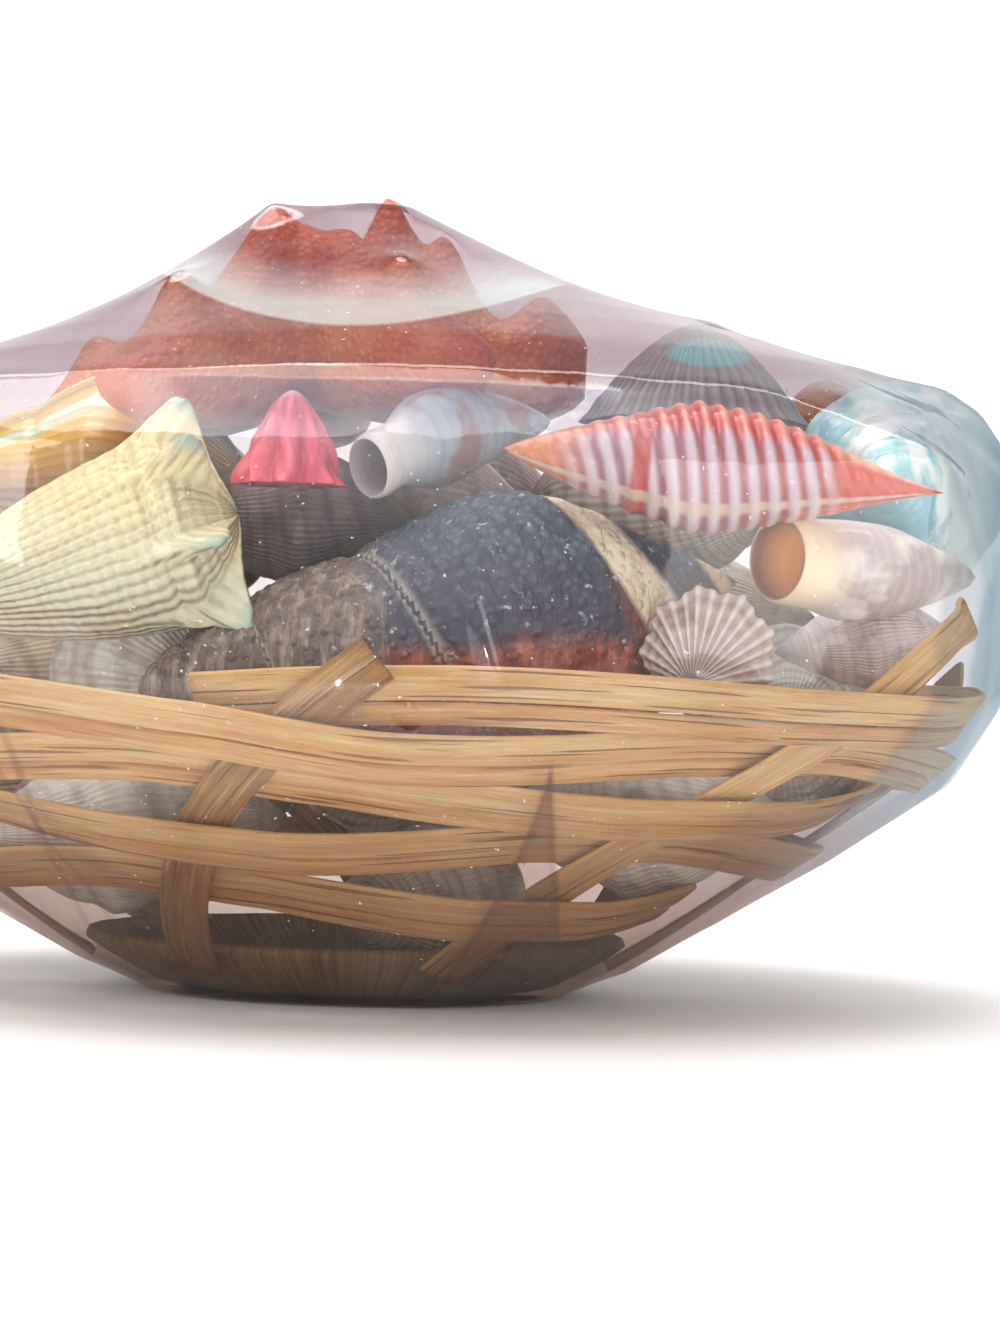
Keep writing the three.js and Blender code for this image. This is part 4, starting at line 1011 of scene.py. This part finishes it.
def film_surface(rows=170, sides=360):
    """The film's distance from the heart of the basket over a fine fan of directions. It starts on
    its solid, is then drawn taut, each point towards the mean of its neighbours, and is held out by
    the heap under it and by the fullness that it keeps of the solid."""
    heart = Vector(HEART)
    place = np.linspace(0, len(FILM_ROWS) - 1, rows)
    half, height = (np.interp(place, np.arange(len(FILM_ROWS)), FILM_ROWS[:, n]) / 1000 for n in (0, 1))
    angle = TURN * np.arange(sides) / sides
    side_way = half[:, None] * np.sin(angle) * DEPTH_SHARE
    sink = LEFT_SINK * np.maximum(-np.cos(angle), 0) * bell(height - 0.101, 0.009)[:, None]
    ways = unit(np.stack([half[:, None] * np.cos(angle), side_way, height[:, None] - sink - HEART[2]], 2))

    def tree_of(pieces):
        places, triangles, count = [], [], 0
        for piece in pieces:
            corners = np.empty(len(piece.data.vertices) * 3)
            piece.data.vertices.foreach_get("co", corners)
            places += corners.reshape(-1, 3).tolist()
            triangles += [[count + corner for corner in face.vertices] for face in piece.data.polygons]
            count += len(piece.data.vertices)
        return BVHTree.FromPolygons(places, triangles)

    def reach(tree):
        starts = [[(Vector(way), heart + Vector(way) * RAY_LENGTH) for way in row] for row in ways]
        found = [[tree.ray_cast(start, -way)[3] for way, start in row] for row in starts]
        return RAY_LENGTH - np.array([[RAY_LENGTH if hit is None else hit for hit in row] for row in found])

    solid = reach(tree_of([frame["nodes"]["shrink_film"]]))
    heap = reach(tree_of([piece for piece in bpy.data.objects if piece.name in laid_pieces]))
    loose = np.interp(height, [0.08, 0.105], [LOOSE_LOW, LOOSE_HIGH])
    floor = np.maximum(heap + OFF_HEAP, solid - loose[:, None])
    far = solid.copy()
    for _ in range(TAUT_ROUNDS):
        spots = ways * far[..., None]
        around = (spots[2:] + spots[:-2] + np.roll(spots, 1, 1)[1:-1] + np.roll(spots, -1, 1)[1:-1]) / 4
        far[1:-1] = np.maximum((around * ways[1:-1]).sum(2), floor[1:-1])
        far[-1] = far[-2].mean()
    for _ in range(2):
        beside = np.roll(far, 1, 1)[1:-1] + np.roll(far, -1, 1)[1:-1]
        far[1:-1] = (far[1:-1] * 4 + far[2:] + far[:-2] + beside) / 8
    return ways, far + OFF_SOLID, angle


def film_finish():
    """Clear film in two parts: one lets the heap through, tinted aslant, high up and in folds,
    and a thin glossy one lies over it, strongest at the edges, milky where the film bridges, with a pale
    painted reflection over the star."""
    made, paint = new_finish("shrink film")
    place = ground(paint)
    across, back, height_up = parts_of(place)
    facing = paint.node("LayerWeight", {}, {"Blend": 0.5}, "Facing")
    edge = ramp(facing, 0.35, 0.95)
    creases = noise(paint, place, 30, 3.0, 0.5, (1, 1, 1.6))
    ripples = noise(paint, place, 140, 3.0, 0.5, (1, 1, 0.6))
    specks = ramp(noise(paint, place, 1300, 1.0), 0.745, 0.78)
    low_part = 1 - ramp(height_up, 0.004, 0.034)
    wander = noise(paint, place, 50, 3.0) * 0.004 - 0.002
    in_front = 1 - ramp(back, -0.02, -0.006)

    # A painted reflection, a pale sheen, hangs over the middle of the star, its lower edge a sagging curve.
    off_middle = across + 0.001
    painted_sheen_rise = height_up - 0.0972 - off_middle * off_middle * 12.4 + wander * 0.2
    painted_sheen = ramp(painted_sheen_rise, 0, 0.0006) * (1 - ramp(painted_sheen_rise, 0.003, 0.012)) * in_front
    # A bluish haze lies between the star and the whelk, where the film bridges a hollow.
    haze_rise = height_up + wander * 0.3
    haze = ramp(haze_rise, 0.07, 0.087) * (1 - ramp(haze_rise, 0.0885, 0.0892)) * in_front
    haze = haze * ramp(across, -0.03, -0.02) * (1 - ramp(across, 0.034, 0.05))
    # One wide pleat opens towards the base at the right of the middle; two creases run down at the left.
    drop = 0.0418 - height_up
    pleat_left = across - 0.029 + drop * 0.2 + drop * drop * 5.8 + wander * 0.3
    pleat_right = 0.029 + drop * 0.08 - across + wander * 0.3
    pleat = ramp(pleat_left, 0, 0.0008) * ramp(pleat_right, 0, 0.0008) * ramp(drop, 0, 0.004)
    pleat_edge = (1 - ramp(pleat_left, 0.0006, 0.0022)) + (1 - ramp(pleat_right, 0.0006, 0.0018))
    folds = pleat * (pleat_edge * 0.22 + 0.5)
    for start, lean, width in ((-0.046, 0.27, 0.0009), (-0.051, 0.62, 0.0007)):
        line = across - start - (0.041 - height_up) * lean + wander * 0.8
        folds = folds + (1 - ramp(line * line, 0, width * width)) * ramp(0.043 - height_up, 0, 0.004) * 0.4
    folds = ramp(folds * in_front, 0, 1)
    veil = ramp(noise(paint, place, 22, 4.0), 0.5, 0.75)

    # What the sheet lets through: nearly all face on, mauve aslant and teal at the right end,
    # smokier where it is doubled behind and over the star, brown low down and in the folds.
    def seen_through(colour):
        return paint.node("BsdfTransparent", {}, {"Color": colour})

    mauve, teal = seen_through(tint(178, 156, 164)), seen_through(tint(126, 164, 178))
    aslant = paint.node("MixShader", {}, {0: ramp(across, 0.06, 0.098), 1: mauve, 2: teal})
    face_on = seen_through(grey(0.985))
    clear = paint.node("MixShader", {}, {0: ramp(facing, 0.35, 0.85), 1: face_on, 2: aslant})
    for share, tone in (
        (ramp(back, 0.0, 0.03) * 0.5, tint(164, 142, 148)),
        (ramp(height_up, 0.088, 0.104) * 0.4, tint(178, 152, 158)),
        (low_part * 0.6, tint(178, 156, 132)),
        (folds * 0.85, tint(146, 96, 50)),
    ):
        clear = paint.node("MixShader", {}, {0: share, 1: clear, 2: seen_through(tone)})
    # The sheet is creased and rippled, stands up in the folds, and has two small dimples in front.
    dimples = folds * 0.15
    for east, up, wide, tall in ((0.0198, 0.0525, 0.0022, 0.0075), (0.0092, 0.0443, 0.002, 0.0022)):
        right, rise = (across - east + (height_up - up) * 0.3) / wide, (height_up - up) / tall
        dimples = dimples + (1 - ramp(right * right + rise * rise, 0, 1)) * in_front * 0.9
    height = creases + ripples * 0.12 + dimples
    bumped = paint.node("Bump", {}, {"Height": height, "Distance": 0.0012, "Strength": 1.0})
    # The milky parts are the veil, the specks, the haze and the folds, and also the painted sheen, a
    # reflection painted over the star.
    milk_and_sheen = ramp(veil * 0.4 + specks + painted_sheen + haze + folds * 0.5, 0, 1)
    milk_and_sheen_colour = blend(haze, blend(painted_sheen, tint(232, 230, 234), tint(214, 228, 226)), tint(140, 152, 172))
    milk_and_sheen_colour = blend(folds, milk_and_sheen_colour, tint(150, 108, 66))
    base = blend(milk_and_sheen, grey(0.95), milk_and_sheen_colour)
    gloss = paint.node(
        "BsdfPrincipled", {}, {"Base Color": base, "Metallic": 1 - milk_and_sheen, "Roughness": 0.07, "Normal": bumped}
    )
    cover = edge * edge * edge * 0.35 + veil * 0.05 + specks * 0.6 + low_part * 0.03 + 0.06
    # The painted sheen also adds to the gloss cover over the star.
    cover = ramp(cover + painted_sheen * 0.32 + haze * 0.24 + folds * 0.07, 0, 1)
    film = paint.node("MixShader", {}, {0: cover, 1: clear, 2: gloss})
    paint.node("OutputMaterial", {}, {"Surface": film})
    return made


ways, far, film_angle = film_surface()
film_rings = HEART + ways * far[..., None]
film_rings[..., 2] = np.maximum(film_rings[..., 2], 0.0)
flat_share = np.linspace(0.05, 0.95, 12)[:, None, None]
foot = film_rings[0][None] * flat_share
foot[..., 2] = 0.0
film_rings = np.concatenate([foot, film_rings])
crown = film_rings[-1].mean(0) + [0, 0, 0.0001]
turns = np.append(film_angle, TURN) / TURN
run_up = np.linspace(0, 1, len(film_rings))[:, None]
film_maps = {"film": np.stack([run_up + 0 * turns, turns + 0 * run_up], 2)}
points, faces, corners = skin(film_rings, (0, 0, 0), crown, film_maps)
put("clear_film", points, faces, corners, film_finish(), "shrink_film")

# Room
# A white sweep stands under and behind the basket, lit by large soft lamps, with a small
# bright lamp beside the camera for glints on the film.


def sweep():
    """A floor that turns up into a wall: a profile of floor, quarter round and wall, drawn wide."""
    bend = np.linspace(0, np.pi / 2, 24)
    y = np.concatenate([[-1.6], [0.9], 0.9 + 0.5 * np.sin(bend), [1.4]])
    z = np.concatenate([[0], [0], 0.5 - 0.5 * np.cos(bend), [2.2]])
    x = np.array([-2.5, 2.5])
    grid = np.stack(np.broadcast_arrays(x[None, :], y[:, None], z[:, None]), 2).reshape(-1, 3)
    i = np.arange(len(y) - 1)
    faces = np.stack([2 * i, 2 * i + 1, 2 * i + 3, 2 * i + 2], 1)
    mesh = bpy.data.meshes.new("sweep")
    mesh.from_pydata((grid - [0, 0, 0.0002]).tolist(), [], faces.tolist())
    mesh.polygons.foreach_set("use_smooth", np.ones(len(faces), bool))
    made, paint = new_finish("white sweep")
    soft = ramp(noise(paint, ground(paint), 3.0, 2.0), 0.3, 0.7)
    coated(paint, blend(soft * 0.3, grey(0.94), grey(0.92)), 0.75)
    mesh.materials.append(made)
    floor = bpy.data.objects.new("sweep", mesh)
    bpy.context.scene.collection.objects.link(floor)


def lamp(name, place, aim, size, power, colour=(1, 1, 1)):
    light = bpy.data.lights.new(name, "AREA")
    light.shape = "RECTANGLE"
    light.size, light.size_y = size
    light.energy = power
    light.color = colour
    made = bpy.data.objects.new(name, light)
    made.location = place
    made.rotation_euler = (Vector(aim) - Vector(place)).to_track_quat("-Z", "Y").to_euler()
    bpy.context.scene.collection.objects.link(made)


sweep()
lamp("overhead", (-0.15, -0.1, 0.95), (0, 0, 0.03), (0.9, 0.7), 8)
lamp("left window", (-0.9, -0.6, 0.5), (0, 0, 0.05), (0.5, 0.7), 4)
lamp("right fill", (0.85, -0.7, 0.4), (0, 0, 0.05), (0.5, 0.6), 2)
lamp("flash", (0.02, -0.5, 0.03), (0, 0, 0.05), (0.02, 0.03), 0.35)
lamp("backdrop", (0, 0.5, 1.2), (0, 1.3, 0.4), (1.6, 0.5), 14)

world = bpy.data.worlds.new("soft room")
world.use_nodes = True
world.node_tree.nodes["Background"].inputs["Color"].default_value = (1, 1, 1, 1)
world.node_tree.nodes["Background"].inputs["Strength"].default_value = 0.46
bpy.context.scene.world = world
bpy.context.scene.view_settings.view_transform = "Standard"

# The camera stands 450 mm in front, level with the middle of the picture, a little rolled.
PICTURE_LENS = 77.8
CAMERA_ROLL = -1.55
eye = bpy.data.cameras.new("eye")
eye.lens = PICTURE_LENS
eye.sensor_width = 36
eye.clip_start = 0.01
camera = bpy.data.objects.new("eye", eye)
camera.location = (0.0214, -0.45, 0.0509)
camera.rotation_euler = (math.radians(90), math.radians(CAMERA_ROLL), 0)
bpy.context.scene.collection.objects.link(camera)
bpy.context.scene.camera = camera
